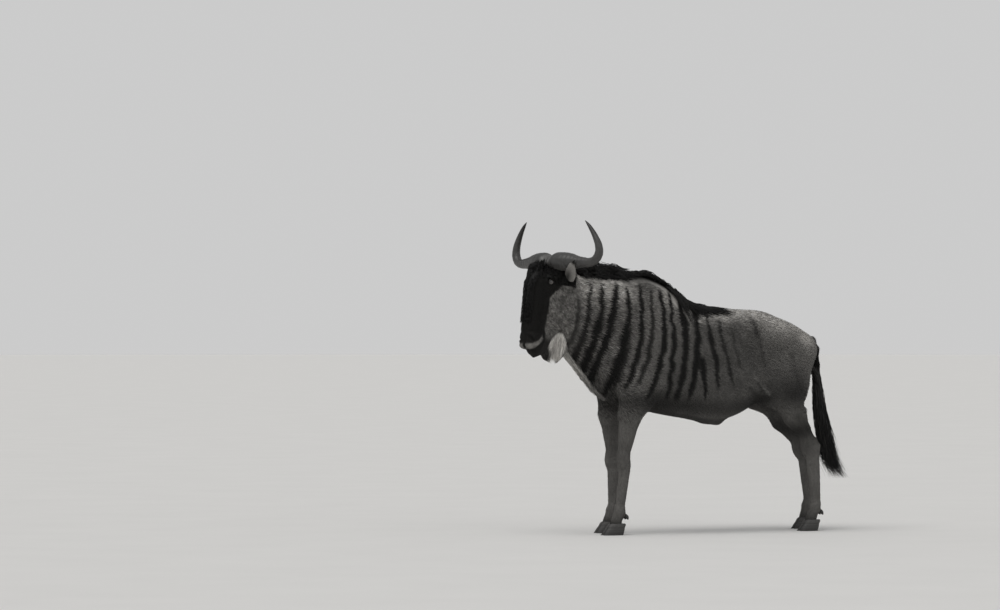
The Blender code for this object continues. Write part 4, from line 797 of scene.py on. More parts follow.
def tone(p):
    """Colour of the coat at points in the body frame, with painted highlight and painted shade laid over the form."""
    x, y, z = np.abs(p[:, 0]), p[:, 1], p[:, 2]
    g = np.full(len(p), 0.100)
    g = lerp(g, 0.175, blob(p, -0.34, 1.04, 0.16, 0.20))
    # Lighter high behind the withers: painted highlight from above, partly the coat's own paler tone.
    g = lerp(g, 0.340, blob(p, -0.23, 1.21, 0.10, 0.07))
    neck = step(-y, 0.38, 0.52) * step(z, 0.76, 0.90)
    g = lerp(g, 0.175, neck)
    g = lerp(g, 0.135, neck * (1 - step(z, 0.84, 0.98)))
    # Paler top of the neck under the mane: partly the coat's pale hair, partly painted highlight from above.
    g = lerp(g, 0.530, neck * step(z, 1.13, 1.27))
    g = lerp(g, 0.210, blob(p, -0.46, 0.80, 0.09, 0.07))
    # Darker along the underside of the chest between the forelegs: painted shade.
    g = lerp(g, 0.055, blob(p, -0.44, 0.68, 0.16, 0.05))
    # Lighter along the top of the back, over the croup and on top of the rump: painted highlight from above, partly
    # the coat's own paler tone.
    g = lerp(g, 0.290, step(z, 1.04, 1.12) * step(y, -0.22, -0.05))
    g = lerp(g, 0.600, step(z, 1.075, 1.135) * step(y, 0.00, 0.08) * (1 - step(y, 0.30, 0.42)))
    g = lerp(g, 0.440, np.clip(blob(p, 0.44, 1.10, 0.17, 0.090) * 1.25, 0, 1))
    g = lerp(g, 0.500, blob(p, 0.55, 1.01, 0.07, 0.08))
    # Darker in the hollow of the flank: painted shade.
    g = lerp(g, 0.062, blob(p, 0.16, 0.96, 0.06, 0.13) * 0.6)
    g = lerp(g, 0.150, blob(p, 0.44, 0.89, 0.10, 0.08) * 0.9)
    # Darker along the lower edge of the thigh, over the gaskin: painted shade.
    g = lerp(g, 0.024, blob(p, 0.46, 0.72, 0.13, 0.07) * 0.90)
    # Lighter strip down the rear edge of the thigh: painted highlight.
    g = lerp(g, 0.165, blob(p, 0.57, 0.87, 0.04, 0.11) * 0.85)
    # Darker along the belly and underside of the trunk: painted shade.
    low = under_line(y)[:, 0]
    under = (1 - step(z, low + 0.020, low + 0.150)) * step(y, -0.46, -0.36) * (1 - step(y, 0.24, 0.40)) * step(z, 0.50, 0.56)
    g = lerp(g, 0.013, under)
    leg = 1 - step(z, 0.56, 0.68)
    g = lerp(g, 0.112, leg)
    # Darker on the gaskin above the hock: painted shade.
    g = lerp(g, 0.020, blob(p, 0.52, 0.52, 0.14, 0.06) * leg)
    g = lerp(g, 0.125, (1 - step(z, 0.30, 0.42)) * step(z, 0.10, 0.16))
    g = lerp(g, 0.060, 1 - step(z, 0.060, 0.110))
    # Darker on the inner sides of the legs and between the thighs: painted shade.
    inner = (1 - step(x, 0.060, 0.110)) * (1 - step(z, 0.62, 0.78)) * step(z, 0.36, 0.55)
    g = lerp(g, 0.035, inner * 0.9)
    # creases of the flank: a painted highlight along the fold with painted shade in the creases above and below it;
    # painted shade in the groove in front of the ham and in the groove before the hamstring; a grey patch on the hock
    g = lerp(g, 0.200, crease(p, (0.205, 0.800), (0.290, 0.715), 0.010) * 0.65)
    g = lerp(g, 0.020, crease(p, (0.225, 0.770), (0.285, 0.700), 0.009) * 0.75)
    g = lerp(g, 0.022, crease(p, (0.170, 0.745), (0.250, 0.690), 0.012) * 0.6)
    g = lerp(g, 0.040, crease(p, (0.430, 0.920), (0.490, 0.700), 0.016) * 0.45)
    g = lerp(g, 0.085, blob(p, 0.560, 0.440, 0.045, 0.050) * 0.7)
    g = lerp(g, 0.045, crease(p, (0.470, 0.600), (0.545, 0.500), 0.012) * 0.6)
    # dapple, and the salt and pepper of the neck
    g *= 0.84 + 0.32 * noise(p, 0.055, 31)
    grain = noise(p * np.array((1.0, 1.0, 0.5)), 0.0062, 32) * 0.6 + noise(p * np.array((1.0, 1.0, 0.4)), 0.014, 34) * 0.4
    g *= lerp(0.88 + 0.24 * grain, 0.40 + 1.20 * grain, np.clip(neck + 0.55 * step(z, 1.04, 1.10), 0, 1))
    # painted shade at the point of the hip, and a painted shade line from it down the front of the thigh towards the
    # groin
    line_y = 0.222 + (noise(p, 0.06, 33) - 0.5) * 0.02
    hip_shade = np.exp(-(((y - line_y) / 0.012) ** 2)) * step(z, 0.98, 1.03) * (1 - step(z, 1.08, 1.13)) * step(x, 0.05, 0.10)
    g = lerp(g, 0.028, 0.85 * hip_shade)
    g = lerp(g, 0.045, crease(p, (0.235, 1.020), (0.262, 0.860), 0.009) * 0.65 * step(x, 0.05, 0.10))
    g = lerp(g, 0.0075, stripes(p))
    # dark line along the back under the mane
    top = np.where(y < -0.50, 1.300, top_line(y)[:, 0])
    mid = 0.020 * step(-y, 0.40, 0.75)
    ridge = (1 - step(np.abs(p[:, 0] - mid), 0.030, 0.060)) * step(z, top - 0.075, top - 0.030) * (y > -0.86) * (1 - step(y, -0.03, 0.06))
    g = lerp(g, 0.0045, ridge)
    # throat fringe
    throat = (1 - step(np.abs(p[:, 0] - mid), 0.012, 0.030)) * step(-y, 0.54, 0.60) * (1 - step(beard_field(p), 0.0, 0.010))
    g = lerp(g, 0.36, throat)
    # tail: grey dock, black tuft
    tail = step(y, 0.628, 0.640) * (x < 0.06)
    g = lerp(g, lerp(0.006, 0.070, step(z, 0.90, 0.99)), tail * step(z, 0.60, 0.66))
    # head
    head = headness(p)
    q = face_of(p)
    s, t = q[:, 2], q[:, 1]
    cheek = 0.150 * (0.25 + 1.50 * noise(p, 0.0062, 35)) * (0.60 + 0.80 * noise(p, 0.026, 36))
    cheek = lerp(cheek, 0.10, step(s, 0.33, 0.40))
    plane = q[:, 1] * 0.963 + s * 0.271 + 0.1354
    cheek = lerp(cheek, 0.012, (1 - step(np.abs(plane - 0.006), 0.006, 0.016)) * step(s, 0.10, 0.16) * 0.9)
    cheek = lerp(cheek, 0.06, crease_at(q[:, 1:3], (-0.085, 0.160), (-0.100, 0.215), 0.014) * 0.6)
    edge = np.interp(s, [e[0] for e in FACE_EDGE], [e[1] for e in FACE_EDGE]) + (noise(p, 0.018, 37) - 0.5) * 0.008
    black = step(t - edge, -0.004, 0.004)
    face = lerp(cheek, 0.0115, black)
    band = s - 0.345 * t
    middle = np.interp(t, (-0.050, -0.030, 0.0, 0.02), (0.408, 0.436, 0.451, 0.453))
    face = lerp(face, 0.17 * (0.6 + 0.7 * noise(p, 0.012, 38)), (1 - step(np.abs(band - middle), 0.010, 0.026)) * step(t, -0.060, -0.044) * 0.92)
    nostril = 1 - step(np.sqrt((np.abs(q[:, 0]) - 0.038) ** 2 + (t - 0.016) ** 2 + (s - 0.404) ** 2), 0.010, 0.017)
    face = lerp(face, 0.010, nostril)
    face = lerp(face, 0.010, (1 - step(np.abs(q[:, 0]), 0.006, 0.016)) * step(s, 0.40, 0.43) * step(t, -0.02, 0.0))
    chin = step(s, 0.35, 0.40) * (1 - step(t, -0.080, -0.062))
    face = lerp(face, 0.020, chin)
    lids = 1 - step(np.sqrt((np.abs(q[:, 0]) - EYE_AT[0]) ** 2 + (t - EYE_AT[1]) ** 2 + (s - EYE_AT[2]) ** 2), 0.024, 0.029)
    face = lerp(face, 0.006, lids)
    g = lerp(g, face, head)
    return np.clip(g, 0.003, 0.9)[:, None] * WARM


# ---------------------------------------------------------------- hair of solid mesh
def slope(field, p, e=0.0012):
    f = field(p)
    return f, unit(np.stack([field(p + e * axis) - f for axis in np.eye(3)], 1))


class Roots:
    """Places on the skin: point, normal, place on the unwrap, all as arrays."""

    def __init__(self, point, normal, uv, ear):
        self.point, self.normal, self.uv, self.ear = point, normal, uv, ear

    def __len__(self):
        return len(self.point)

    def pick(self, mask):
        return Roots(self.point[mask], self.normal[mask], self.uv[mask], self.ear[mask])


class SkinMap:
    """The skin as triangles to sow roots on."""

    def __init__(self, obj, flesh):
        mesh = obj.data
        mesh.calc_loop_triangles()
        n = len(mesh.loop_triangles)
        tri = np.empty(n * 3, np.int32)
        mesh.loop_triangles.foreach_get("vertices", tri)
        loops = np.empty(n * 3, np.int32)
        mesh.loop_triangles.foreach_get("loops", loops)
        uv = np.empty(len(mesh.loops) * 2, np.float32)
        mesh.uv_layers["OFBake"].data.foreach_get("uv", uv)
        normal = np.empty(len(mesh.vertices) * 3, np.float32)
        mesh.vertices.foreach_get("normal", normal)
        self.tri = tri.reshape(-1, 3)
        self.uv = uv.reshape(-1, 2)[loops].reshape(-1, 3, 2)
        self.co = points_of(mesh)
        self.no = normal.reshape(-1, 3).astype(float)
        corner = self.co[self.tri]
        self.centre = corner.mean(1)
        self.area = 0.5 * np.sqrt((np.cross(corner[:, 1] - corner[:, 0], corner[:, 2] - corner[:, 0]) ** 2).sum(1))
        self.ear = self.tri[:, 0] >= flesh

    def sow(self, density, rng):
        """Roots at a density per square metre, given at the triangles' centres."""
        count = np.floor(density * self.area + rng.random(len(self.area))).astype(int)
        which = np.repeat(np.arange(len(count)), count)
        a, b = rng.random(len(which)), rng.random(len(which))
        flip = a + b > 1
        a[flip], b[flip] = 1 - a[flip], 1 - b[flip]
        w = np.stack([1 - a - b, a, b], 1)[:, :, None]
        tri = self.tri[which]
        return Roots((self.co[tri] * w).sum(1), unit((self.no[tri] * w).sum(1)), (self.uv[which] * w).sum(1), self.ear[which])


def hair_mesh(name, path, up, width, thick, uv, rgb, mat, depth_shade=(0.80, 1.12)):
    """Closed three-sided tapered locks: path (n, k+1, 3), up (n, k+1, 3), width (n, k)."""
    n, k = len(path), path.shape[1] - 1
    ahead = np.diff(path, axis=1)
    ahead = unit(np.concatenate([ahead, ahead[:, -1:]], 1))
    side = unit(np.cross(up, ahead))
    rise = np.cross(ahead, side)
    w = width[:, :, None]
    centre, side, rise = path[:, :k], side[:, :k], rise[:, :k]
    ring = np.stack([centre - side * w * 0.5 - rise * w * thick * 0.35,
                     centre + side * w * 0.5 - rise * w * thick * 0.35,
                     centre + rise * w * thick * 0.65], 2)
    verts = np.concatenate([ring.reshape(n, 3 * k, 3), path[:, k:]], 1)
    corners, starts, at = [], [], 0
    for r in range(k - 1):
        for j in range(3):
            m = (j + 1) % 3
            corners += [3 * r + j, 3 * r + m, 3 * r + 3 + m, 3 * r + 3 + j]
            starts.append(at)
            at += 4
    for j in range(3):
        corners += [3 * (k - 1) + j, 3 * (k - 1) + (j + 1) % 3, 3 * k]
        starts.append(at)
        at += 3
    corners += [0, 2, 1]
    starts.append(at)
    at += 3
    corners, starts = np.array(corners), np.array(starts)
    per = 3 * k + 1
    mesh = bpy.data.meshes.new(name)
    mesh.vertices.add(n * per)
    mesh.vertices.foreach_set("co", (verts.reshape(-1, 3) + SHIFT).astype(np.float32).ravel())
    mesh.loops.add(n * at)
    mesh.loops.foreach_set("vertex_index", (corners[None, :] + per * np.arange(n)[:, None]).astype(np.int32).ravel())
    mesh.polygons.add(n * len(starts))
    mesh.polygons.foreach_set("loop_start", (starts[None, :] + at * np.arange(n)[:, None]).astype(np.int32).ravel())
    mesh.update(calc_edges=True)
    mesh.polygons.foreach_set("use_smooth", np.ones(n * len(starts), bool))
    patch = np.array([((j - 1) * 0.0014, 0.0030 * r / k - 0.0015) for r in range(k) for j in range(3)] + [(0.0, 0.0015)])
    layer = mesh.uv_layers.new(name="OFBake")
    layer.data.foreach_set("uv", np.clip(uv[:, None, :] + patch[corners][None], 0, 1).astype(np.float32).ravel())
    # Darker at the root and lighter towards the tip: painted shade deep among the hairs.
    along = np.array([r / k for r in range(k) for _ in range(3)] + [1.0])
    shade = depth_shade[0] + (depth_shade[1] - depth_shade[0]) * along
    colour = np.ones((n, per, 4), np.float32)
    colour[:, :, :3] = np.clip(rgb[:, None, :] * shade[None, :, None], 0, 1)
    attribute = mesh.color_attributes.new("tone", "FLOAT_COLOR", "POINT")
    attribute.data.foreach_set("color", colour.ravel())
    mesh.materials.append(mat)
    obj = bpy.data.objects.new(name, mesh)
    bpy.context.scene.collection.objects.link(obj)
    return obj


MAX_TRIANGLES = 190000
COUNT = [0]


def placed(obj, slot, *nodes):
    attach(obj, "root")
    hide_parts(*nodes)
    obj.data.calc_loop_triangles()
    COUNT[0] += len(obj.data.loop_triangles)
    print("piece", obj.name, len(obj.data.loop_triangles))
    return obj


def hair_pieces(name, path, up, width, thick, uv, rgb, mat, slot, nodes, depth_shade=(0.80, 1.12)):
    """One or more pieces, each under the limit of triangles, cut along the body."""
    k = path.shape[1] - 1
    each = 6 * (k - 1) + 4
    parts = max(1, math.ceil(len(path) * each / MAX_TRIANGLES))
    order = np.argsort(path[:, 0, 1], kind="stable")
    for i, chosen in enumerate(np.array_split(order, parts)):
        label = name if parts == 1 else f"{name}_{i + 1}"
        placed(hair_mesh(label, path[chosen], up[chosen], width[chosen], thick, uv[chosen], rgb[chosen], mat, depth_shade), slot, *nodes)


def short_fur(name, roots, lie, length, width, lift, mat, slot, nodes, rng, vary):
    """Straight thin spikes that lie along the coat."""
    n = roots.normal
    d = lie - n * (lie * n).sum(1, keepdims=True)
    d = unit(unit(d) + rng.normal(0, 0.16, (len(n), 3)))
    d = unit(d - n * (d * n).sum(1, keepdims=True))
    tilt = np.radians(lift * (0.55 + 0.9 * rng.random(len(n))))[:, None]
    d = d * np.cos(tilt) + n * np.sin(tilt)
    size = (length * (0.75 + 0.5 * rng.random(len(n))))[:, None]
    start = roots.point - n * 0.0006
    path = np.stack([start, start + d * size], 1)
    up = np.stack([n, n], 1)
    # dark and pale hairs mix where the coat is salt and pepper
    rgb = tone(roots.point)
    vary = np.where(rgb[:, 1] > 0.030, vary, 0.12)[:, None]
    rgb = rgb * np.exp(vary * rng.normal(0, 1, (len(n), 1)) - vary**2 / 2).clip(0.2, 2.6)
    hair_pieces(name, path, up, (width * (0.8 + 0.4 * rng.random(len(n))))[:, None], 0.42, roots.uv, rgb, mat, slot, nodes,
                depth_shade=(0.86, 1.10))


def grow(root, normal, flow, length, height, steps, rng, hull=None, slack=0.0, start=0.9, sway=0.10, hover=True,
         drop=0.0):
    """Locks that walk from their roots along a flow, held at a height over the body and within a hull."""
    p = root - normal * 0.0010
    path, ups = [p], [normal]
    heading = unit(normal * start + unit(flow(root, 0.0)))
    stride = (length / steps)[:, None]
    bend = rng.normal(0, sway, (len(root), 3))
    for k in range(1, steps + 1):
        u = k / steps
        heading = unit(heading * 0.45 + unit(flow(p, u)) * 0.55 + bend + rng.normal(0, sway * 0.5, bend.shape))
        q = p + heading * stride
        f, g = slope(body_field, q)
        want = height * (math.sin(min(1.0, u / 0.45) * math.pi / 2) * (1 - drop * max(0.0, u - 0.45) / 0.55))
        off = want - f
        off = off * 0.75 if hover else np.maximum(off, 0)
        q = q + g * off[:, None]
        if hull is not None:
            for _ in range(2):
                h, gh = slope(hull, q)
                q = q - gh * np.maximum(h - slack, 0)[:, None]
        path.append(q)
        ups.append(g)
        p = q
    return np.stack(path, 1), np.stack(ups, 1)


def clumped(path, clumps, strength, rng, power=1.5):
    """Draws the ends of neighbouring locks together."""
    leader = rng.choice(len(path), min(clumps, len(path)), replace=False)
    near = np.argmin(((path[:, None, 0] - path[leader][None, :, 0]) ** 2).sum(2), 1)
    u = np.linspace(0, 1, path.shape[1])[None, :, None] ** power
    pull = strength * (0.5 + 0.5 * rng.random((len(path), 1, 1)))
    return path + (path[leader[near]] - path) * u * pull


def lock_width(n, k, wide, rng):
    u = np.linspace(0, 1, k + 1)[:-1]
    shape = np.clip(0.62 + 1.6 * u, 0, 1) * (1 - u**2.2)
    return wide * (0.7 + 0.6 * rng.random((n, 1))) * shape[None, :]


def depth_under(hull, root, normal, reach=0.10):
    """How far it is along the normal from the root to the hull's surface."""
    best = np.zeros(len(root))
    for s in np.linspace(0.004, reach, 14):
        best = np.where((hull(root + normal * s) < 0) & (best >= s - reach / 13 * 1.6), s, best)
    return best


# ---------------------------------------------------------------- materials
def shader(name, colour=None, attribute=None, rough=(0.62, 0.82), rough_size=60.0, variation=0.14, size=240.0,
           bump=0.0, bump_size=420.0, stretch=(1.0, 1.0, 1.0), specular=0.35, sheen=0.0, coat=0.0, coat_rough=0.1,
           subsurface=0.0):
    """A procedural surface: colour by attribute or constant, varied by noise, with fine relief."""
    mat = bpy.data.materials.new(name)
    mat.use_nodes = True
    tree = mat.node_tree
    nodes, links = tree.nodes, tree.links
    nodes.clear()
    out = nodes.new("ShaderNodeOutputMaterial")
    bsdf = nodes.new("ShaderNodeBsdfPrincipled")
    links.new(bsdf.outputs["BSDF"], out.inputs["Surface"])
    bsdf.inputs["Specular IOR Level"].default_value = specular
    bsdf.inputs["Sheen Weight"].default_value = sheen
    bsdf.inputs["Sheen Roughness"].default_value = 0.5
    bsdf.inputs["Coat Weight"].default_value = coat
    bsdf.inputs["Coat Roughness"].default_value = coat_rough
    where = nodes.new("ShaderNodeTexCoord")
    mapping = nodes.new("ShaderNodeMapping")
    mapping.inputs["Scale"].default_value = stretch
    links.new(where.outputs["Object"], mapping.inputs["Vector"])
    grain = nodes.new("ShaderNodeTexNoise")
    grain.inputs["Scale"].default_value = size
    grain.inputs["Detail"].default_value = 4.0
    links.new(mapping.outputs["Vector"], grain.inputs["Vector"])
    spread = nodes.new("ShaderNodeMapRange")
    spread.inputs["From Min"].default_value = 0.3
    spread.inputs["From Max"].default_value = 0.7
    spread.inputs["To Min"].default_value = 1.0 - variation
    spread.inputs["To Max"].default_value = 1.0 + variation
    links.new(grain.outputs["Fac"], spread.inputs["Value"])
    mix = nodes.new("ShaderNodeMix")
    mix.data_type = "RGBA"
    mix.blend_type = "MULTIPLY"
    mix.clamp_result = True
    mix.inputs["Factor"].default_value = 1.0
    if attribute:
        source = nodes.new("ShaderNodeAttribute")
        source.attribute_name = attribute
        links.new(source.outputs["Color"], mix.inputs["A"])
    else:
        mix.inputs["A"].default_value = (*colour, 1.0)
    links.new(spread.outputs["Result"], mix.inputs["B"])
    links.new(mix.outputs["Result"], bsdf.inputs["Base Color"])
    cloud = nodes.new("ShaderNodeTexNoise")
    cloud.inputs["Scale"].default_value = rough_size
    cloud.inputs["Detail"].default_value = 3.0
    links.new(mapping.outputs["Vector"], cloud.inputs["Vector"])
    gloss = nodes.new("ShaderNodeMapRange")
    gloss.inputs["To Min"].default_value = rough[0]
    gloss.inputs["To Max"].default_value = rough[1]
    links.new(cloud.outputs["Fac"], gloss.inputs["Value"])
    links.new(gloss.outputs["Result"], bsdf.inputs["Roughness"])
    if bump:
        fine = nodes.new("ShaderNodeTexNoise")
        fine.inputs["Scale"].default_value = bump_size
        fine.inputs["Detail"].default_value = 5.0
        links.new(mapping.outputs["Vector"], fine.inputs["Vector"])
        relief_node = nodes.new("ShaderNodeBump")
        relief_node.inputs["Strength"].default_value = bump
        relief_node.inputs["Distance"].default_value = 0.0012
        links.new(fine.outputs["Fac"], relief_node.inputs["Height"])
        links.new(relief_node.outputs["Normal"], bsdf.inputs["Normal"])
    if subsurface:
        bsdf.inputs["Subsurface Weight"].default_value = subsurface
        bsdf.inputs["Subsurface Radius"].default_value = (0.004, 0.003, 0.002)
    return mat


SKIN_MAT = shader("coat_ground", attribute="tone", rough=(0.70, 0.90), bump=0.5, bump_size=380.0, stretch=(1.0, 0.35, 0.7),
                  specular=0.12)
FUR_MAT = shader("coat_fur", attribute="tone", rough=(0.55, 0.80), variation=0.20, size=900.0, specular=0.14, sheen=0.03)
MANE_MAT = shader("mane_hair", attribute="tone", rough=(0.42, 0.60), variation=0.30, size=500.0, specular=0.26)
BEARD_MAT = shader("beard_hair", attribute="tone", rough=(0.55, 0.75), variation=0.16, size=500.0, specular=0.20, sheen=0.05)
HORN_MAT = shader("horn_keratin", attribute="tone", rough=(0.34, 0.55), rough_size=90.0, variation=0.16, size=150.0,
                  bump=0.22, bump_size=210.0, stretch=(0.35, 1.0, 1.0), specular=0.45, coat=0.12, coat_rough=0.35)
HOOF_MAT = shader("hoof_keratin", attribute="tone", rough=(0.40, 0.62), variation=0.22, size=120.0, bump=0.3, bump_size=260.0,
                  stretch=(1.0, 1.0, 2.6), specular=0.40)
EYE_MAT = shader("eye_wet", attribute="tone", rough=(0.06, 0.10), variation=0.18, size=700.0, specular=0.60, coat=1.0,
                 coat_rough=0.03)
FLOOR_MAT = shader("floor_pale", colour=(0.74, 0.735, 0.72), rough=(0.75, 0.90), rough_size=1.5, variation=0.012, size=2.0,
                   specular=0.15)

FLESH = ("head", "neck", "trunk", "tail", "ear_left", "ear_right", "foreleg_left_upper", "foreleg_left_lower",
         "foreleg_right_upper", "foreleg_right_lower", "hindleg_left_upper", "hindleg_left_lower",
         "hindleg_right_upper", "hindleg_right_lower")
rng = np.random.default_rng(SEED)


def mesh_object(name, verts, faces, mat, rgb=None, move=True):
    mesh = bpy.data.meshes.new(name)
    verts = np.asarray(verts, float)
    mesh.from_pydata((verts + SHIFT if move else verts).tolist(), [], [list(f) for f in faces])
    mesh.update()
    mesh.polygons.foreach_set("use_smooth", np.ones(len(mesh.polygons), bool))
    if rgb is not None:
        colour_vertices(mesh, rgb)
    mesh.materials.append(mat)
    obj = bpy.data.objects.new(name, mesh)
    bpy.context.scene.collection.objects.link(obj)
    return obj


def colour_vertices(mesh, rgb):
    colour = np.ones((len(mesh.vertices), 4), np.float32)
    colour[:, :3] = rgb
    attribute = mesh.color_attributes.new("tone", "FLOAT_COLOR", "POINT")
    attribute.data.foreach_set("color", colour.ravel())


def outward(obj):
    bm = bmesh.new()
    bm.from_mesh(obj.data)
    bmesh.ops.recalc_face_normals(bm, faces=bm.faces)
    bm.to_mesh(obj.data)
    bm.free()
    return obj


# ---------------------------------------------------------------- ears
def ear_shell(side):
    """A cupped leaf with a rim and a notch at its root: points, faces, and the place along and across it."""
    root = np.array(from_skull((side * EAR_ROOT[0], EAR_ROOT[1], EAR_ROOT[2])))
    (a, f, u), (b, g, h) = EAR_LEFT if side > 0 else EAR_RIGHT
    tip = from_skull((side * a, f, u))
    toward = SKULL_AXES[:, 0] * side * b + SKULL_AXES[:, 1] * g + SKULL_AXES[:, 2] * h
    along = tip - root
    length = np.linalg.norm(along)
    along = along / length
    face = toward - along * (toward @ along)
    face = face / np.linalg.norm(face)
    wide = np.cross(along, face)
    rows, cols = 34, 22
    verts, keys = [], []
    for back in (0, 1):
        for i in range(rows + 1):
            for j in range(cols + 1):
                u, w = i / rows, j / cols * 2 - 1
                breadth = EAR_WIDTH / 2 * (0.42 + 0.58 * math.sin(math.pi * min(1.0, (u * 0.86 + 0.14)) ** 1.15) ** 0.8) * (
                    1.0 if u < 0.55 else max(0.06, 1.0 - ((u - 0.55) / 0.45) ** 1.9))
                cup = 0.85 * (1.0 - 0.55 * u)
                angle = w * (0.9 + 1.0 * (1 - u))
                thick = 0.0016 * (1 - 0.75 * abs(w) ** 6) + 0.0004
                p = (root + along * (u * length) + wide * breadth * math.sin(angle * 0.8) / 0.8
                     + face * breadth * cup * (math.cos(angle) - 1.0) + face * 0.010 * math.sin(math.pi * u))
                out = face * math.cos(angle) + wide * math.sin(angle)
                ribs = 0.0008 * math.sin(w * 9.0) * (1 - u) * (1 - back)
                verts.append(p + out * ((thick + ribs) if not back else -thick))
                keys.append((u, w, back))
    faces, per, wide_n = [], (rows + 1) * (cols + 1), cols + 1
    for i in range(rows):
        for j in range(cols):
            a0 = i * wide_n + j
            faces.append((a0, a0 + 1, a0 + wide_n + 1, a0 + wide_n))
            b0 = a0 + per
            faces.append((b0, b0 + wide_n, b0 + wide_n + 1, b0 + 1))
    rim = [(0, j) for j in range(cols + 1)] + [(i, cols) for i in range(1, rows + 1)] + \
          [(rows, j) for j in range(cols - 1, -1, -1)] + [(i, 0) for i in range(rows - 1, 0, -1)]
    loop = [i * wide_n + j for i, j in rim]
    for a0, b0 in zip(loop, loop[1:] + loop[:1]):
        faces.append((a0, a0 + per, b0 + per, b0))
    return np.array(verts), faces, np.array(keys), along


# ---------------------------------------------------------------- the skin as one piece
skin = make_skin()
FLESH_POINTS = len(skin.data.vertices)
ear_keys, ear_dirs = [], []
bm = bmesh.new()
bm.from_mesh(skin.data)
for side in (1, -1):
    verts, faces, keys, along = ear_shell(side)
    made = [bm.verts.new(v) for v in verts]
    new = []
    for f in faces:
        new.append(bm.faces.new([made[i] for i in f]))
    bmesh.ops.recalc_face_normals(bm, faces=new)
    ear_keys.append(keys)
    ear_dirs.append(along)
bm.to_mesh(skin.data)
bm.free()
skin.data.polygons.foreach_set("use_smooth", np.ones(len(skin.data.polygons), bool))
skin.data.update()
body_points = points_of(skin.data)
keys = np.concatenate(ear_keys)


def ear_tone(keys, seed=0):
    u, w, back = keys[:, 0], keys[:, 1], keys[:, 2]
    inner = lerp(0.26, 0.06, np.exp(-((w / 0.45) ** 2)) * (1 - step(u, 0.3, 0.8)))
    outer = np.full(len(u), 0.17)
    g = lerp(inner, outer, back)
    g = lerp(g, 0.012, step(u, 0.78, 0.90))
    g = lerp(g, 0.10, step(np.abs(w), 0.86, 1.0) * 0.6)
    return g[:, None] * WARM


rgb = tone(body_points)
rgb[FLESH_POINTS:] = ear_tone(keys)
colour_vertices(skin.data, rgb)
bpy.context.view_layer.objects.active = skin
skin.select_set(True)
bpy.ops.object.mode_set(mode="EDIT")
bpy.ops.mesh.select_all(action="SELECT")
bpy.ops.uv.smart_project(angle_limit=math.radians(66), island_margin=0.0)
bpy.ops.object.mode_set(mode="OBJECT")
skin.data.uv_layers[0].name = "OFBake"
skin.data.materials.append(SKIN_MAT)
ground = SkinMap(skin, FLESH_POINTS)
set_points(skin.data, points_of(skin.data) + SHIFT)
placed(skin, "coat", *FLESH)


# ---------------------------------------------------------------- short fur
def lie_of(p):
    """Which way the coat lies."""
    y, z = p[:, 1], p[:, 2]
    leg = (1 - step(z, 0.50, 0.72))[:, None]
    lie = lerp(np.array((0.0, 1.0, -0.42)) * np.ones((len(p), 1)), np.array((0.0, 0.16, -1.0)), leg)
    q = face_of(p)
    head = headness(p)[:, None]
    down = FACE_AXES[:, 2] + np.sign(q[:, :1]) * 0.35 * FACE_AXES[:, 0] - 0.15 * FACE_AXES[:, 1]
    cheek = (1 - step(q[:, 1], -0.06, 0.0))[:, None]
    back = FACE_AXES[:, 2] * 0.25 - FACE_AXES[:, 1] * 0.9
    lie = lerp(lie, lerp(down, back, cheek * 0.75), head)
    swirl = np.stack([noise(p, 0.12, 51 + k) - 0.5 for k in range(3)], 1) * 0.5
    tail = ((y > 0.63) & (np.abs(p[:, 0]) < 0.06))[:, None]
    return np.where(tail, np.array((0.0, 0.1, -1.0)), lie + swirl)


def clear_of(p):
    """False inside eyes, under horns and below the hair line of the hooves."""
    q = face_of(p)
    eye = np.sqrt((np.abs(q[:, 0]) - EYE_AT[0]) ** 2 + (q[:, 1] - EYE_AT[1]) ** 2 + (q[:, 2] - EYE_AT[2]) ** 2)
    skull = (p - np.array(HEAD_ROOT)) @ SKULL_AXES
    a = np.abs(skull[:, 0])
    horn_at = np.array([s[0] for s in HORN_STATIONS])
    horn_r = np.array([min(s[1], s[2]) for s in HORN_STATIONS])
    away = np.sqrt(((np.stack([a, skull[:, 1], skull[:, 2]], 1)[:, None] - horn_at[None]) ** 2).sum(2)) - horn_r[None] * 0.80
    return (eye > 0.0262) & (away.min(1) > 0) & (p[:, 2] > CORONET - 0.004)


LESS = 1.0


def region(name, density, length, width, lift, slot, vary, ear=False, mat=None):
    local = np.random.default_rng([SEED, sum(map(ord, name))])
    roots = ground.sow(density * LESS * (ground.ear == ear), local)
    if not ear:
        roots = roots.pick(clear_of(roots.point))
    size = length(roots.point) if callable(length) else np.full(len(roots), length)
    short_fur(name, roots, lie_of(roots.point), size, width, lift, mat or FUR_MAT, slot, FLESH, local,
              vary(roots.point) if callable(vary) else np.full(len(roots), vary))


c = ground.centre
headed = headness(c)
face_c = face_of(c)
legs = 1 - step(c[:, 2], 0.56, 0.66)
covered = mane_field(c) < -0.008
region("fur_body", 43000 * (1 - headed) * (1 - legs) * ~covered, lambda p: 0.017 + 0.006 * step(-p[:, 1], 0.40, 0.60), 0.0034, 11,
       "coat", vary=lambda p: 0.20 + 0.34 * np.clip(step(-p[:, 1], 0.30, 0.50) + step(p[:, 2], 1.02, 1.10), 0, 1))
region("fur_legs", 52000 * (1 - headed) * legs * (c[:, 2] > 0.05), 0.011, 0.0025, 10, "coat", vary=0.12)
muzzle = step(face_c[:, 2], 0.37, 0.42)
region("fur_head", 125000 * headed * (1 - muzzle * 0.75), lambda p: lerp(0.0095, 0.0040, step(face_of(p)[:, 2], 0.34, 0.42)), 0.0018, 12,
       "coat", vary=0.60)


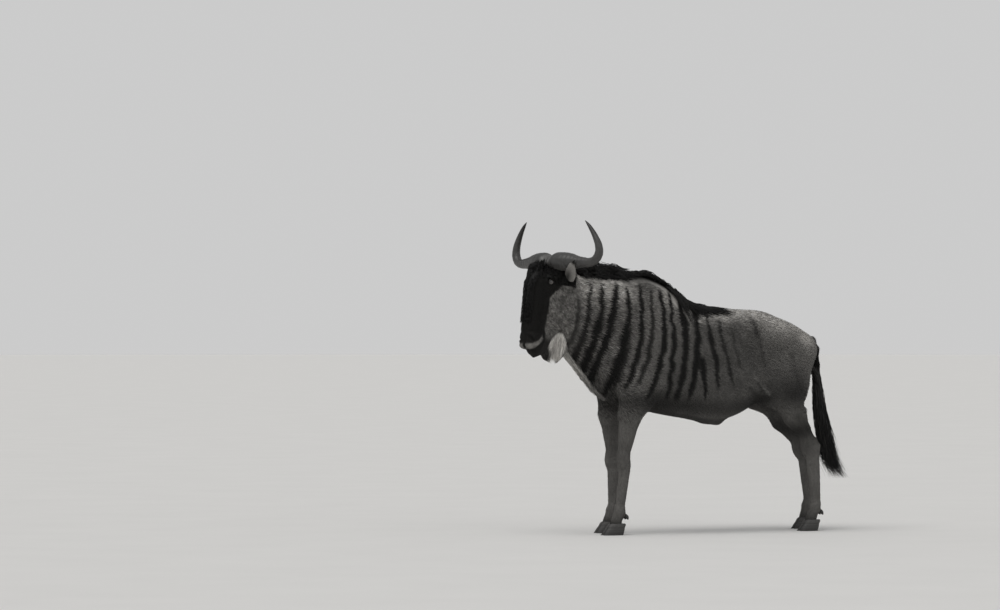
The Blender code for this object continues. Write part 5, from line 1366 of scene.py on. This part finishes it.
# ---------------------------------------------------------------- ears' hair
def ear_hair():
    local = np.random.default_rng([SEED, 7])
    verts_all, path_all, up_all, rgb_all, uv_all = [], [], [], [], []
    roots = ground.sow(np.where(ground.ear, 90000.0, 0.0) * LESS, local)
    if not len(roots):
        return
    start = FLESH_POINTS
    ear_points = ground.co[FLESH_POINTS:]
    near = np.concatenate([np.argmin(((chunk[:, None] - ear_points[None]) ** 2).sum(2), 1)
                           for chunk in np.array_split(roots.point, 12)])
    key = keys[near]
    side = near < len(ear_keys[0])
    along = np.where(side[:, None], ear_dirs[0], ear_dirs[1])
    n = roots.normal
    fringe = (np.abs(key[:, 1]) > 0.80) | (key[:, 0] > 0.86)
    d = along + n * 0.14 + local.normal(0, 0.16, n.shape)
    d = unit(d - n * (d * n).sum(1, keepdims=True) * 0.75)
    length = np.where(fringe, 0.010, 0.0075) * (0.7 + 0.6 * local.random(len(n)))
    first = roots.point - n * 0.0004
    path = np.stack([first, first + d * length[:, None]], 1)
    rgb = ear_tone(key) * (1 + 0.35 * local.normal(0, 1, (len(n), 1))).clip(0.35, 1.9)
    hair_pieces("fur_ears", path, np.stack([n, n], 1), (0.0017 * (0.8 + 0.4 * local.random(len(n))))[:, None], 0.4, roots.uv,
                rgb, FUR_MAT, "coat", FLESH)


ear_hair()


# ---------------------------------------------------------------- long hair
def dark(n, rng, base=0.0045, spread=0.9):
    return (base * (1 + spread * rng.random((n, 1)))) * WARM


def mane():
    local = np.random.default_rng([SEED, 11])
    d = mane_field(ground.centre)
    near = (d < 0.006) & ~ground.ear & (ground.centre[:, 1] < 0.06)
    # crest: shaggy locks that rise from the ridge and fall back over it
    roots = ground.sow(np.where(near, 42000.0, 0.0) * LESS, local)
    y = roots.point[:, 1]
    mid = 0.020 * step(-y, 0.40, 0.75)
    reach = lerp(0.050, 0.022, step(y, -0.52, -0.36))
    keep = np.abs(roots.point[:, 0] - mid) < reach * (0.8 + 0.35 * local.random(len(y)))
    roots = roots.pick(keep)
    y, mid = y[keep], mid[keep]
    side = np.tanh((roots.point[:, 0] - mid) / 0.02)[:, None]
    tall = depth_under(mane_field, roots.point, roots.normal)
    n = len(roots)
    layer = local.random(n) ** 0.6
    dip = 1 - 0.50 * np.exp(-(((y + 0.455) / 0.030) ** 2))
    height = np.maximum(tall, 0.012) * (0.25 + 0.75 * layer) * dip
    curly = 1 - step(y, -0.56, -0.46)
    length = lerp(0.100, 0.075, curly) * (0.6 + 0.6 * local.random(n)) * np.clip(0.45 + tall / 0.06, 0.5, 1.1)

    def flow(p, u):
        curl = np.stack([noise(p, 0.034, 61 + k) - 0.5 for k in range(3)], 1) * (0.7 + 2.0 * curly)[:, None]
        out = side * lerp(0.15, 0.45, curly)[:, None] * (0.4 + u)
        return np.concatenate([out, np.full((len(p), 1), 1.0), np.full((len(p), 1), -0.22 - 0.40 * u)], 1) + curl

    path, up = grow(roots.point, roots.normal, flow, length, height, 6, local, hull=mane_field, slack=0.006, start=1.3,
                    drop=0.25, sway=0.14)
    path = clumped(path, max(12, n // 12), 0.75, local)
    hair_pieces("mane_crest", path, up, lock_width(n, 6, 0.0050, local), 0.45, roots.uv, dark(n, local), MANE_MAT, "mane",
                ("mane_neck", "mane_withers"), depth_shade=(0.7, 1.5))

    # long strands that fall over the shoulders and along the back, fanning out
    for side_sign, label in ((1, "left"), (-1, "right")):
        local = np.random.default_rng([SEED, 13 + side_sign])
        c = ground.centre
        x = c[:, 0] * side_sign
        sown = (x > -0.004) & (c[:, 1] > -0.26) & (c[:, 1] < 0.01) & (c[:, 2] > 1.12) & (x < 0.045)
        roots = ground.sow(np.where(sown, 52000.0, 0.0) * LESS, local)
        y = roots.point[:, 1]
        roots = roots.pick((y > -0.23 + 0.03 * local.random(len(y))) & (local.random(len(y)) < 0.95))
        n = len(roots)
        fan = np.clip((roots.point[:, 1] + 0.22) / 0.19, 0, 1)
        lean_back = np.radians(lerp(14.0, 58.0, fan) + 8.0 * local.normal(0, 1, n) + 24.0 * (local.random(n) < 0.25) * fan)
        length = lerp(0.250, 0.215, fan) * (0.40 + 0.75 * local.random(n))

        def flow(p, u):
            curl = np.stack([noise(p, 0.05, 71 + k) - 0.5 for k in range(3)], 1) * 0.25
            angle = lean_back + 0.10 * u
            return np.stack([0.55 * side_sign * np.cos(angle) * (1 - 0.6 * u), np.sin(angle) + 0.20 * (1 - u), -np.cos(angle)], 1) + curl

        height = 0.007 + 0.012 * local.random(n) ** 0.8
        path, up = grow(roots.point, roots.normal, flow, length, height, 8, local, start=0.4, sway=0.05, drop=0.45)
        path = clumped(path, max(10, n // 30), 0.86, local, power=1.0)
        hair_pieces(f"mane_fall_{label}", path, up, lock_width(n, 8, 0.0042, local), 0.4, roots.uv, dark(n, local), MANE_MAT,
                    "mane", ("mane_withers",), depth_shade=(0.8, 1.5))


mane()


def beard():
    local = np.random.default_rng([SEED, 17])
    d = beard_field(ground.centre)
    near = (d < 0.011) & ~ground.ear & (headness(ground.centre) + (ground.centre[:, 2] > 0.97) > 0.5)
    roots = ground.sow(np.where(near, 105000.0, 0.0) * LESS, local)
    n = len(roots)
    q = face_of(roots.point)
    jaw = headness(roots.point)
    tall = depth_under(beard_field, roots.point, roots.normal)
    layer = local.random(n) ** 0.6
    height = tall * (0.2 + 0.8 * layer) + 0.001
    length = lerp(0.075, 0.095, jaw) * (0.6 + 0.55 * local.random(n)) * np.clip(0.5 + tall / 0.05, 0.45, 1.15)
    forward = SKULL_AXES[:, 1]

    def flow(p, u):
        curl = np.stack([noise(p, 0.04, 81 + k) - 0.5 for k in range(3)], 1) * 0.30
        hang = np.array((0.0, 0.0, -1.0)) + 0.10 * forward * jaw[:, None] + np.array((0.0, 0.35, 0.0)) * (1 - jaw)[:, None] * u
        return hang + curl

    path, up = grow(roots.point, roots.normal, flow, length, height * 0.4, 6, local, hull=beard_field, slack=0.006, start=0.35,
                    sway=0.06, hover=False)
    path = clumped(path, max(12, n // 9), 0.32, local)
    chin = step(q[:, 2] - 0.3 * (q[:, 1] + 0.13), 0.375, 0.41) * jaw
    g = lerp(lerp(0.55, 0.80, jaw), 0.035, chin)
    rgb = (g * (0.45 + 0.75 * local.random(n)))[:, None] * WARM
    hair_pieces("beard_hair", path, up, lock_width(n, 6, 0.0034, local), 0.45, roots.uv, rgb, BEARD_MAT, "beard", ("beard",),
                depth_shade=(0.75, 1.12))


beard()


def throat_fringe():
    """Pale hair along the front edge of the neck, from the jaw to the chest."""
    local = np.random.default_rng([SEED, 37])
    c = ground.centre
    mid = 0.020 * step(-c[:, 1], 0.40, 0.75)
    front = (np.abs(c[:, 0] - mid) < 0.020) & (c[:, 1] < -0.50) & (c[:, 2] > 0.70) & (c[:, 2] < 1.04) & ~ground.ear & (headness(c) < 0.6)
    roots = ground.sow(np.where(front, 60000.0, 0.0) * LESS, local)
    roots = roots.pick(roots.normal[:, 1] < -0.25)
    n = len(roots)
    z = roots.point[:, 2]
    length = lerp(0.034, 0.060, step(z, 0.72, 0.92)) * (0.55 + 0.6 * local.random(n))

    def flow(p, u):
        curl = np.stack([noise(p, 0.03, 85 + k) - 0.5 for k in range(3)], 1) * 0.3
        return np.array((0.0, 0.42, -1.0)) + curl

    path, up = grow(roots.point, roots.normal, flow, length, 0.002 + 0.009 * local.random(n), 5, local, start=0.5, sway=0.07,
                    drop=0.3)
    path = clumped(path, max(12, n // 14), 0.55, local)
    rgb = (lerp(0.20, 0.50, step(z, 0.70, 0.90)) * (0.30 + 1.1 * local.random(n)))[:, None] * WARM
    hair_pieces("throat_hair", path, up, lock_width(n, 5, 0.0034, local), 0.45, roots.uv, rgb, BEARD_MAT, "beard", ("beard",),
                depth_shade=(0.75, 1.15))


throat_fringe()


def forelock():
    local = np.random.default_rng([SEED, 19])
    d = forelock_field(ground.centre)
    near = (d < 0.008) & ~ground.ear
    roots = ground.sow(np.where(near, 90000.0, 0.0) * LESS, local)
    n = len(roots)
    q = face_of(roots.point)
    tall = depth_under(forelock_field, roots.point, roots.normal, 0.06)
    height = tall * (0.25 + 0.75 * local.random(n) ** 0.6) + 0.001
    length = lerp(0.062, 0.038, step(q[:, 2], 0.06, 0.16)) * (0.6 + 0.6 * local.random(n))

    def flow(p, u):
        curl = np.stack([noise(p, 0.03, 91 + k) - 0.5 for k in range(3)], 1) * 0.5
        return FACE_AXES[:, 2] + 0.25 * np.sign(q[:, :1]) * FACE_AXES[:, 0] + curl

    path, up = grow(roots.point, roots.normal, flow, length, height, 5, local, hull=forelock_field, slack=0.004, start=1.0)
    path = clumped(path, max(10, n // 12), 0.6, local)
    hair_pieces("forelock_hair", path, up, lock_width(n, 5, 0.0042, local), 0.45, roots.uv, dark(n, local, 0.0040), MANE_MAT,
                "mane", ("forelock",), depth_shade=(0.7, 1.35))

    # a brush of hair that stands up between the bosses and in front of them
    local = np.random.default_rng([SEED, 41])
    n = int(420 * LESS)
    a = -0.062 + 0.080 * local.random(n)
    over = local.random(n) ** 0.7
    top = np.interp(a, (-0.062, -0.045, 0.002, 0.018), (-0.030, -0.014, 0.016, 0.022)) * (0.55 + 0.45 * over) + 0.006 * local.normal(0, 1, n)
    root = np.stack([a * 0.85 - 0.004, np.full(n, 0.004), np.full(n, -0.052) - 0.012 * local.random(n)], 1)
    bulge = 0.012 + 0.014 * over
    path = []
    for k in range(7):
        u = k / 6
        ahead = lerp(0.000, 0.020 + bulge, math.sin(min(1, u * 1.25) * math.pi / 2)) - 0.012 * max(0, u - 0.7) / 0.3
        rise = lerp(root[:, 2], top, u)
        curl = 0.004 * np.sin(u * 5 + a * 240)
        path.append(from_skull(np.stack([root[:, 0] + (a - root[:, 0] + 0.010 * over) * u + curl, root[:, 1] * 0 + ahead, rise], 1)))
    path = clumped(np.stack(path, 1), 40, 0.6, local)
    up = np.repeat(np.array(SKULL_AXES[:, 1])[None, None], n, 0) * np.ones((n, 7, 1))
    near = np.concatenate([np.argmin(((chunk[:, None] - ground.centre[None]) ** 2).sum(2), 1) for chunk in np.array_split(path[:, 0], 12)])
    hair_pieces("crown_hair", path, up, lock_width(n, 6, 0.0036, local), 0.45, ground.uv[near].mean(1), dark(n, local, 0.0045),
                MANE_MAT, "mane", ("forelock",), depth_shade=(0.7, 1.5))

    # shaggy black hair over the crown, round the horns and down the face
    local = np.random.default_rng([SEED, 23])
    c = ground.centre
    fc = face_of(c)
    skull = (c - np.array(HEAD_ROOT)) @ SKULL_AXES
    crown = (headness(c) > 0.4) & ~ground.ear & (fc[:, 2] < 0.085) & (fc[:, 1] > -0.14)
    bridge = (headness(c) > 0.4) & ~ground.ear & (fc[:, 2] >= 0.085) & (fc[:, 2] < 0.33) & (np.abs(fc[:, 0]) < 0.034) & (fc[:, 1] > 0.02)
    roots = ground.sow(np.where(crown, 50000.0, np.where(bridge, 70000.0, 0.0)) * LESS, local)
    roots = roots.pick(clear_of(roots.point))
    n = len(roots)
    q = face_of(roots.point)
    length = np.where(q[:, 2] < 0.085, 0.026, lerp(0.026, 0.012, step(q[:, 2], 0.10, 0.32))) * (0.6 + 0.7 * local.random(n))

    def fall(p, u):
        curl = np.stack([noise(p, 0.025, 95 + k) - 0.5 for k in range(3)], 1) * 0.6
        return FACE_AXES[:, 2] + 0.55 * np.sign(q[:, :1]) * FACE_AXES[:, 0] - 0.2 * FACE_AXES[:, 1] + curl

    path, up = grow(roots.point, roots.normal, fall, length, 0.003 + 0.004 * local.random(n), 4, local, start=0.5, sway=0.12)
    path = clumped(path, max(10, n // 10), 0.55, local)
    hair_pieces("face_hair", path, up, lock_width(n, 4, 0.0030, local), 0.45, roots.uv, dark(n, local, 0.0040), MANE_MAT,
                "face", ("head",), depth_shade=(0.75, 1.3))


forelock()


def tail_hair():
    local = np.random.default_rng([SEED, 29])
    c = ground.centre
    on = (c[:, 1] > 0.63) & (np.abs(c[:, 0]) < 0.06) & (c[:, 2] < 0.90) & (c[:, 2] > 0.60)
    roots = ground.sow(np.where(on, 72000.0, 0.0) * LESS, local)
    n, steps = len(roots), 11
    lines = [TAIL_TUFT, TAIL_TUFT[:3] + TUFT_LOW, TAIL_TUFT[:4] + TUFT_REAR]
    curves = []
    for line in lines:
        rows = [(-z, y, r) for ((_, y, z), r) in line]
        rows = [(-0.98, 0.668, 0.020)] + rows
        rows = sorted(rows)
        keep = [rows[0]]
        for row in rows[1:]:
            if row[0] - keep[-1][0] > 0.015:
                keep.append(row)
        curves.append(curve(keep))
    which = local.choice(3, n, p=(0.5, 0.32, 0.18))
    ends = np.array([0.262, 0.262, 0.315])[which]
    start_z = roots.point[:, 2]
    length = (start_z - ends) * np.clip(0.42 + 0.66 * local.random(n) ** 0.55, 0, 1.0)
    angle = local.random(n) * 2 * math.pi
    radius = np.sqrt(local.random(n))
    out = roots.normal[:, :2]
    base = np.stack([np.cos(angle), np.sin(angle)], 1)
    stray = np.where(local.random(n) < 0.16, 0.055 * local.random(n), 0.012 * local.normal(0, 1, n))
    base = unit(base + 1.3 * out / np.maximum(np.linalg.norm(out, axis=1, keepdims=True), 1e-6))
    path, up = [roots.point - roots.normal * 0.001], [roots.normal]
    for k in range(1, steps + 1):
        u = k / steps
        z = start_z - length * u
        y, r = np.zeros(n), np.zeros(n)
        for i, line in enumerate(curves):
            at = line(-z)
            y = np.where(which == i, at[:, 0], y)
            r = np.where(which == i, at[:, 1], r)
        spread = np.clip(u * 4, 0, 1)
        wave = 0.0045 * np.stack([np.sin(z * 38 + angle * 3), np.cos(z * 31 + angle * 5)], 1) * spread
        off = base * (radius * r * 1.02)[:, None] * np.array((0.80, 1.0)) + wave[:, :2]
        off[:, 1] += stray * u**3
        at = np.stack([off[:, 0], y + off[:, 1], z], 1)
        first = path[0] + np.array((0, 0.05, -1.0)) * (length * u)[:, None]
        w = spread * spread * (3 - 2 * spread)
        path.append(lerp(first, at, w))
        up.append(unit(np.concatenate([base, np.zeros((n, 1))], 1)))
    path, up = np.stack(path, 1), np.stack(up, 1)
    path = clumped(path, max(12, n // 26), 0.55, local, power=1.8)
    u = np.linspace(0, 1, steps + 1)[:-1]
    width = 0.0056 * (0.7 + 0.6 * local.random((n, 1))) * (np.clip(0.6 + 2 * u, 0, 1) * (1 - u**2.6))[None]
    shade = lerp(0.020, 0.0045, step(0.88 - start_z, 0.0, 0.05))[:, None] * (1 + 0.5 * local.random((n, 1)))
    hair_pieces("tail_hair", path, up, width, 0.45, roots.uv, shade * WARM, MANE_MAT, "mane", ("tail_tuft",), depth_shade=(0.8, 1.35))


tail_hair()


def lashes():
    """Upper lashes of both eyes."""
    local = np.random.default_rng([SEED, 31])
    path, up = [], []
    for side in (1, -1):
        m = np.array((side, 1, 1))
        for i in range(46):
            u = (i + 0.5) / 46 * 2 - 1
            q = np.array(EYE_AT) + GAZE * 0.0225 + SLIT * (u * 0.0165) + LIDWARD * LID_SIGN * 0.0088 * (1 - 0.55 * u * u)
            d = GAZE * 0.75 + LIDWARD * LID_SIGN * (0.30 + 0.2 * local.random()) + SLIT * (0.35 * u + 0.15) + local.normal(0, 0.06, 3)
            d = d / np.linalg.norm(d)
            reach = 0.011 * (0.7 + 0.5 * local.random())
            points = [q - GAZE * 0.0015, q + d * reach * 0.5 - np.array((0, 0, 0)), q + d * reach + SLIT * 0.0015]
            path.append([from_face(p * m) for p in points])
            up.append([FACE_AXES @ (LIDWARD * LID_SIGN * m)] * 3)
    path, up = np.array(path), np.array(up)
    n = len(path)
    near = np.concatenate([np.argmin(((chunk[:, None] - ground.centre[None]) ** 2).sum(2), 1) for chunk in np.array_split(path[:, 0], 8)])
    uv = ground.uv[near].mean(1)
    width = np.full((n, 1), 0.0007) * np.array([[1.0, 0.7]])
    hair_pieces("lashes", path, up, width, 0.8, uv, dark(n, local, 0.004), MANE_MAT, "face", ("head",))


LID_SIGN = 1.0 if LIDWARD[2] < 0 else -1.0
lashes()


# ---------------------------------------------------------------- horns
def make_horn(side):
    rows = []
    for (a, f, z), high, deep in HORN_STATIONS:
        round_end = float(step(np.array([a]), -0.010, 0.052)[0])
        rows.append((a, f, z - 0.006 * (1 - round_end), high * lerp(0.42, 1.0, round_end), deep * lerp(0.80, 1.0, round_end)))
    table = np.array(rows)
    chord = np.concatenate([[0], np.cumsum(np.sqrt((np.diff(table[:, :3], axis=0) ** 2).sum(1)))])
    along = curve(np.column_stack([chord, table]))
    rings, sides = 120, 48
    local_u = np.concatenate([np.linspace(0, 1, rings - 12)[:-1], 1 - (1 - np.linspace(0, 1, 14)) ** 2 * (1 - 1 / 1)])
    place = np.linspace(0, 1, rings) ** 0.96 * chord[-1]
    at = along(place)
    tangent = np.gradient(at[:, :3], axis=0)
    tangent = unit(tangent)
    forward = np.array((0.0, 1.0, 0.0))
    across = unit(np.cross(tangent, forward))
    ahead = np.cross(across, tangent)
    angle = np.linspace(0, 2 * math.pi, sides, endpoint=False)
    grid = (at[:, None, :3] + across[:, None] * (np.sin(angle)[None, :, None] * at[:, None, 3:4])
            + ahead[:, None] * (np.cos(angle)[None, :, None] * at[:, None, 4:5]))
    flat = grid.reshape(-1, 3)
    u = np.repeat(place / chord[-1], sides)
    radial = unit(flat - np.repeat(at[:, :3], sides, 0))
    # rough burr at the base, faint growth rings, polished tip
    boss = 1 - step(u, 0.10, 0.34)
    rim = np.exp(-(((u - 0.035) / 0.022) ** 2))
    pits = (noise(flat, 0.0060, 101) - 0.5) * 0.0022 + (noise(flat, 0.018, 102) - 0.5) * 0.0030
    rings_relief = 0.00055 * np.sin(u * 150 + 3 * noise(flat, 0.03, 103)) * step(u, 0.10, 0.22) * (1 - step(u, 0.55, 0.70))
    flat = flat + radial * (pits * (0.30 * boss + 0.70 * rim) + rings_relief + 0.0006 * (noise(flat, 0.03, 104) - 0.5))[:, None]
    flat[:, 0] = np.maximum(flat[:, 0], 0.0013)
    world = from_skull(flat * np.array((side, 1, 1)))
    faces = []
    for i in range(rings - 1):
        for j in range(sides):
            k = (j + 1) % sides
            faces.append((i * sides + j, i * sides + k, (i + 1) * sides + k, (i + 1) * sides + j))
    faces.append(tuple(range(sides)))
    faces.append(tuple((rings - 1) * sides + j for j in range(sides)))
    g = lerp(0.040, 0.047, step(u, 0.15, 0.45))
    g = lerp(g, 0.016, step(u, 0.74, 0.92))
    low = step(-(world - np.array(HEAD_ROOT)) @ SKULL_AXES[:, 2], 0.010, 0.045) * boss
    g = lerp(g, 0.15, low * 0.45)
    g = lerp(g, 0.22, rim * 0.6 * (0.4 + 1.0 * noise(flat, 0.008, 107)))
    g *= 0.82 + 0.36 * noise(flat, 0.011, 105)
    g *= 0.90 + 0.20 * noise(flat * np.array((0.2, 1, 1)), 0.004, 106)
    obj = mesh_object(f"horn_{'left' if side > 0 else 'right'}_keratin", world, faces, HORN_MAT,
                      np.clip(g, 0.01, 1)[:, None] * np.array((1.02, 1.0, 0.96)))
    outward(obj)
    placed(obj, "horn", f"horn_{'left' if side > 0 else 'right'}")


make_horn(1)
make_horn(-1)


# ---------------------------------------------------------------- eyes
def make_eye(side):
    centre = np.array((side * EYE_AT[0], EYE_AT[1], EYE_AT[2]))
    gaze = GAZE * np.array((side, 1, 1))
    slit = SLIT * np.array((side, 1, 1))
    third = np.cross(gaze, slit)
    rows, cols = 56, 64
    verts = [gaze]
    for i in range(1, rows):
        polar = math.pi * i / rows
        for j in range(cols):
            a = 2 * math.pi * j / cols
            verts.append(gaze * math.cos(polar) + (slit * math.cos(a) + third * math.sin(a)) * math.sin(polar))
    verts.append(-gaze)
    verts = np.array(verts)
    polar = np.arccos(np.clip(verts @ gaze, -1, 1))
    bulge = 1 + 0.055 * np.exp(-((polar / 0.55) ** 4))
    points = from_face(centre + verts * EYEBALL * bulge[:, None] * 0.985)
    faces = [(0, 1 + (j + 1) % cols, 1 + j) for j in range(cols)]
    for i in range(rows - 2):
        for j in range(cols):
            a, b = 1 + i * cols + j, 1 + i * cols + (j + 1) % cols
            faces.append((a, b, b + cols, a + cols))
    last = len(verts) - 1
    faces += [(last, last - cols + j, last - cols + (j + 1) % cols) for j in range(cols)]
    x, y = verts @ slit, verts @ third
    iris = 1 - step(np.hypot(x / 0.78, y / 0.70), 0.94, 1.02)
    pupil = 1 - step(np.hypot(x / 0.46, y / 0.24), 0.90, 1.04)
    ring = np.exp(-(((np.hypot(x / 0.78, y / 0.70) - 0.94) / 0.08) ** 2))
    brown = np.array((0.017, 0.010, 0.007)) * (0.7 + 0.6 * noise(verts, 0.12, 111))[:, None]
    rgb = lerp(np.array((0.012, 0.010, 0.009)) * np.ones((len(verts), 1)), brown, iris[:, None])
    rgb = lerp(rgb, np.array((0.006, 0.005, 0.005)), np.maximum(pupil, ring * 0.7)[:, None])
    label = "left" if side > 0 else "right"
    obj = outward(mesh_object(f"eye_{label}_ball", points, faces, EYE_MAT, rgb))
    placed(obj, "eye", f"eye_{label}")


make_eye(1)
make_eye(-1)


# ---------------------------------------------------------------- hooves
def make_hoof(name, leg, length):
    foot = np.array(leg["foot"]) * np.array((leg["side"], 1, 1))
    verts, faces, tones = [], [], []
    sides, top = 40, CORONET - 0.0010
    levels = [0.0, 0.0006, 0.004, 0.009, 0.014, 0.020, 0.026, 0.032, 0.038, 0.044, 0.049, 0.053, 0.0560, 0.0580, top]
    for claw in (1, -1):
        base = len(verts)
        for li, z in enumerate(levels):
            u = z / top
            half = HOOF_WIDTH / 2 * (1.0 - 0.16 * u)
            reach = length / 2 * (1.0 - 0.26 * u)
            lip = 0.0016 * math.exp(-(((z - 0.050) / 0.004) ** 2)) - (0.004 * max(0.0, (z - 0.0565) / (top - 0.0565)) ** 1.0)
            ring_relief = 0.0005 * math.sin(z * 1300)
            inset = 0.0012 if li == 0 else 0.0
            for j in range(sides):
                a = 2 * math.pi * j / sides
                x, y = math.sin(a), math.cos(a)
                fore = max(0.0, -y)
                w = half * (1.0 - 0.22 * fore**2)
                cx = claw * (0.0026 + (w - 0.0026) / 2 - 0.0015 * fore)
                px = cx + (w - 0.0026) / 2 * math.copysign(abs(x) ** 0.8, x)
                py = -0.012 + reach * math.copysign(abs(y) ** 0.82, y) + 0.030 * u
                py += 0.004 * math.copysign(1, x * claw) * (-1 if fore > 0.5 else 0) * fore * 0.4
                grow_by = (lip + ring_relief - inset)
                n = np.array((x, y, 0.0))
                verts.append(np.array((foot[0] + px, foot[1] + py, z)) + n * grow_by * (0.35 if x * claw < 0 else 1.0))
                tones.append(lerp(0.030, 0.055, u) * (0.8 + 0.4 * math.sin(z * 1300 + 1) ** 2))
        for i in range(len(levels) - 1):
            for j in range(sides):
                k = (j + 1) % sides
                faces.append((base + i * sides + j, base + i * sides + k, base + (i + 1) * sides + k, base + (i + 1) * sides + j))
        faces.append(tuple(base + j for j in range(sides)))
        faces.append(tuple(base + (len(levels) - 1) * sides + j for j in range(sides)))
    # dewclaws behind the fetlock
    fetlock = np.array(leg["fetlock"]) * np.array((leg["side"], 1, 1))
    for claw in (1, -1):
        base = len(verts)
        rows, cols = 9, 16
        for i in range(rows + 1):
            v = i / rows
            r = 0.0088 * math.sin(math.pi * (0.12 + 0.80 * v)) ** 0.8
            for j in range(cols):
                a = 2 * math.pi * j / cols
                verts.append(np.array((fetlock[0] + claw * 0.0135 + r * math.sin(a), fetlock[1] + 0.031 + 0.010 * v + r * math.cos(a),
                                       fetlock[2] - 0.012 - 0.028 * v)))
                tones.append(0.04)
        for i in range(rows):
            for j in range(cols):
                k = (j + 1) % cols
                faces.append((base + i * cols + j, base + i * cols + k, base + (i + 1) * cols + k, base + (i + 1) * cols + j))
        faces.append(tuple(base + j for j in range(cols)))
        faces.append(tuple(base + rows * cols + j for j in range(cols)))
    obj = outward(mesh_object(name + "_horn", np.array(verts), faces, HOOF_MAT, np.array(tones)[:, None] * np.array((1.03, 1.0, 0.96))))
    placed(obj, "hoof", name)


make_hoof("hoof_fore_left", FORE_LEFT, HOOF_LENGTH_FORE)
make_hoof("hoof_fore_right", FORE_RIGHT, HOOF_LENGTH_FORE)
make_hoof("hoof_hind_left", HIND_LEFT, HOOF_LENGTH_HIND)
make_hoof("hoof_hind_right", HIND_RIGHT, HOOF_LENGTH_HIND)

# ---------------------------------------------------------------- floor, light and camera
bm = bmesh.new()
bmesh.ops.create_circle(bm, cap_ends=True, segments=96, radius=90.0)
mesh = bpy.data.meshes.new("floor")
bm.to_mesh(mesh)
bm.free()
floor = bpy.data.objects.new("floor", mesh)
floor.data.materials.append(FLOOR_MAT)
bpy.context.scene.collection.objects.link(floor)

world = bpy.data.worlds.new("studio")
bpy.context.scene.world = world
world.use_nodes = True
sky, ties = world.node_tree.nodes, world.node_tree.links
back = sky["Background"]
where = sky.new("ShaderNodeTexCoord")
axes = sky.new("ShaderNodeSeparateXYZ")
ramp = sky.new("ShaderNodeValToRGB")
ties.new(where.outputs["Generated"], axes.inputs["Vector"])
ties.new(axes.outputs["Z"], ramp.inputs["Fac"])
ramp.color_ramp.elements[0].position, ramp.color_ramp.elements[0].color = 0.06, (0.60, 0.60, 0.60, 1.0)
ramp.color_ramp.elements[1].position, ramp.color_ramp.elements[1].color = 0.35, (0.40, 0.40, 0.405, 1.0)
ties.new(ramp.outputs["Color"], back.inputs["Color"])
back.inputs["Strength"].default_value = 1.0

AXIS = math.radians(64.36)
BACKWARD = Vector((math.sin(AXIS), -math.cos(AXIS), 0.0))
RIGHT = Vector((math.cos(AXIS), math.sin(AXIS), 0.0))


def lamp(name, right, toward, high, soft, power, colour=(1.0, 1.0, 1.0)):
    """A broad distant light, from a direction given in the camera's terms."""
    light = bpy.data.lights.new(name, "SUN")
    light.angle = math.radians(soft)
    light.energy = power
    light.color = colour
    obj = bpy.data.objects.new(name, light)
    place = RIGHT * right + BACKWARD * toward + Vector((0, 0, high))
    obj.location = place
    obj.rotation_euler = place.to_track_quat("Z", "Y").to_euler()
    bpy.context.scene.collection.objects.link(obj)


lamp("key", -1.2, 1.4, 4.0, 45.0, 1.35, (1.0, 0.99, 0.97))
lamp("fill", 2.5, 3.0, 1.6, 60.0, 0.25)

camera = bpy.data.objects.new("camera", bpy.data.cameras.new("camera"))
camera.data.sensor_width = 36.0
camera.data.lens = 174.6
camera.data.clip_end = 300.0
target = Vector(SHIFT.tolist()) + Vector((0, 0, 1.170)) - RIGHT * 1.0309
camera.location = target + BACKWARD * 25.0
camera.rotation_euler = (-BACKWARD).to_track_quat("-Z", "Y").to_euler()
bpy.context.scene.collection.objects.link(camera)
bpy.context.scene.camera = camera
bpy.context.scene.view_settings.view_transform = "Standard"

print("triangles", COUNT[0])
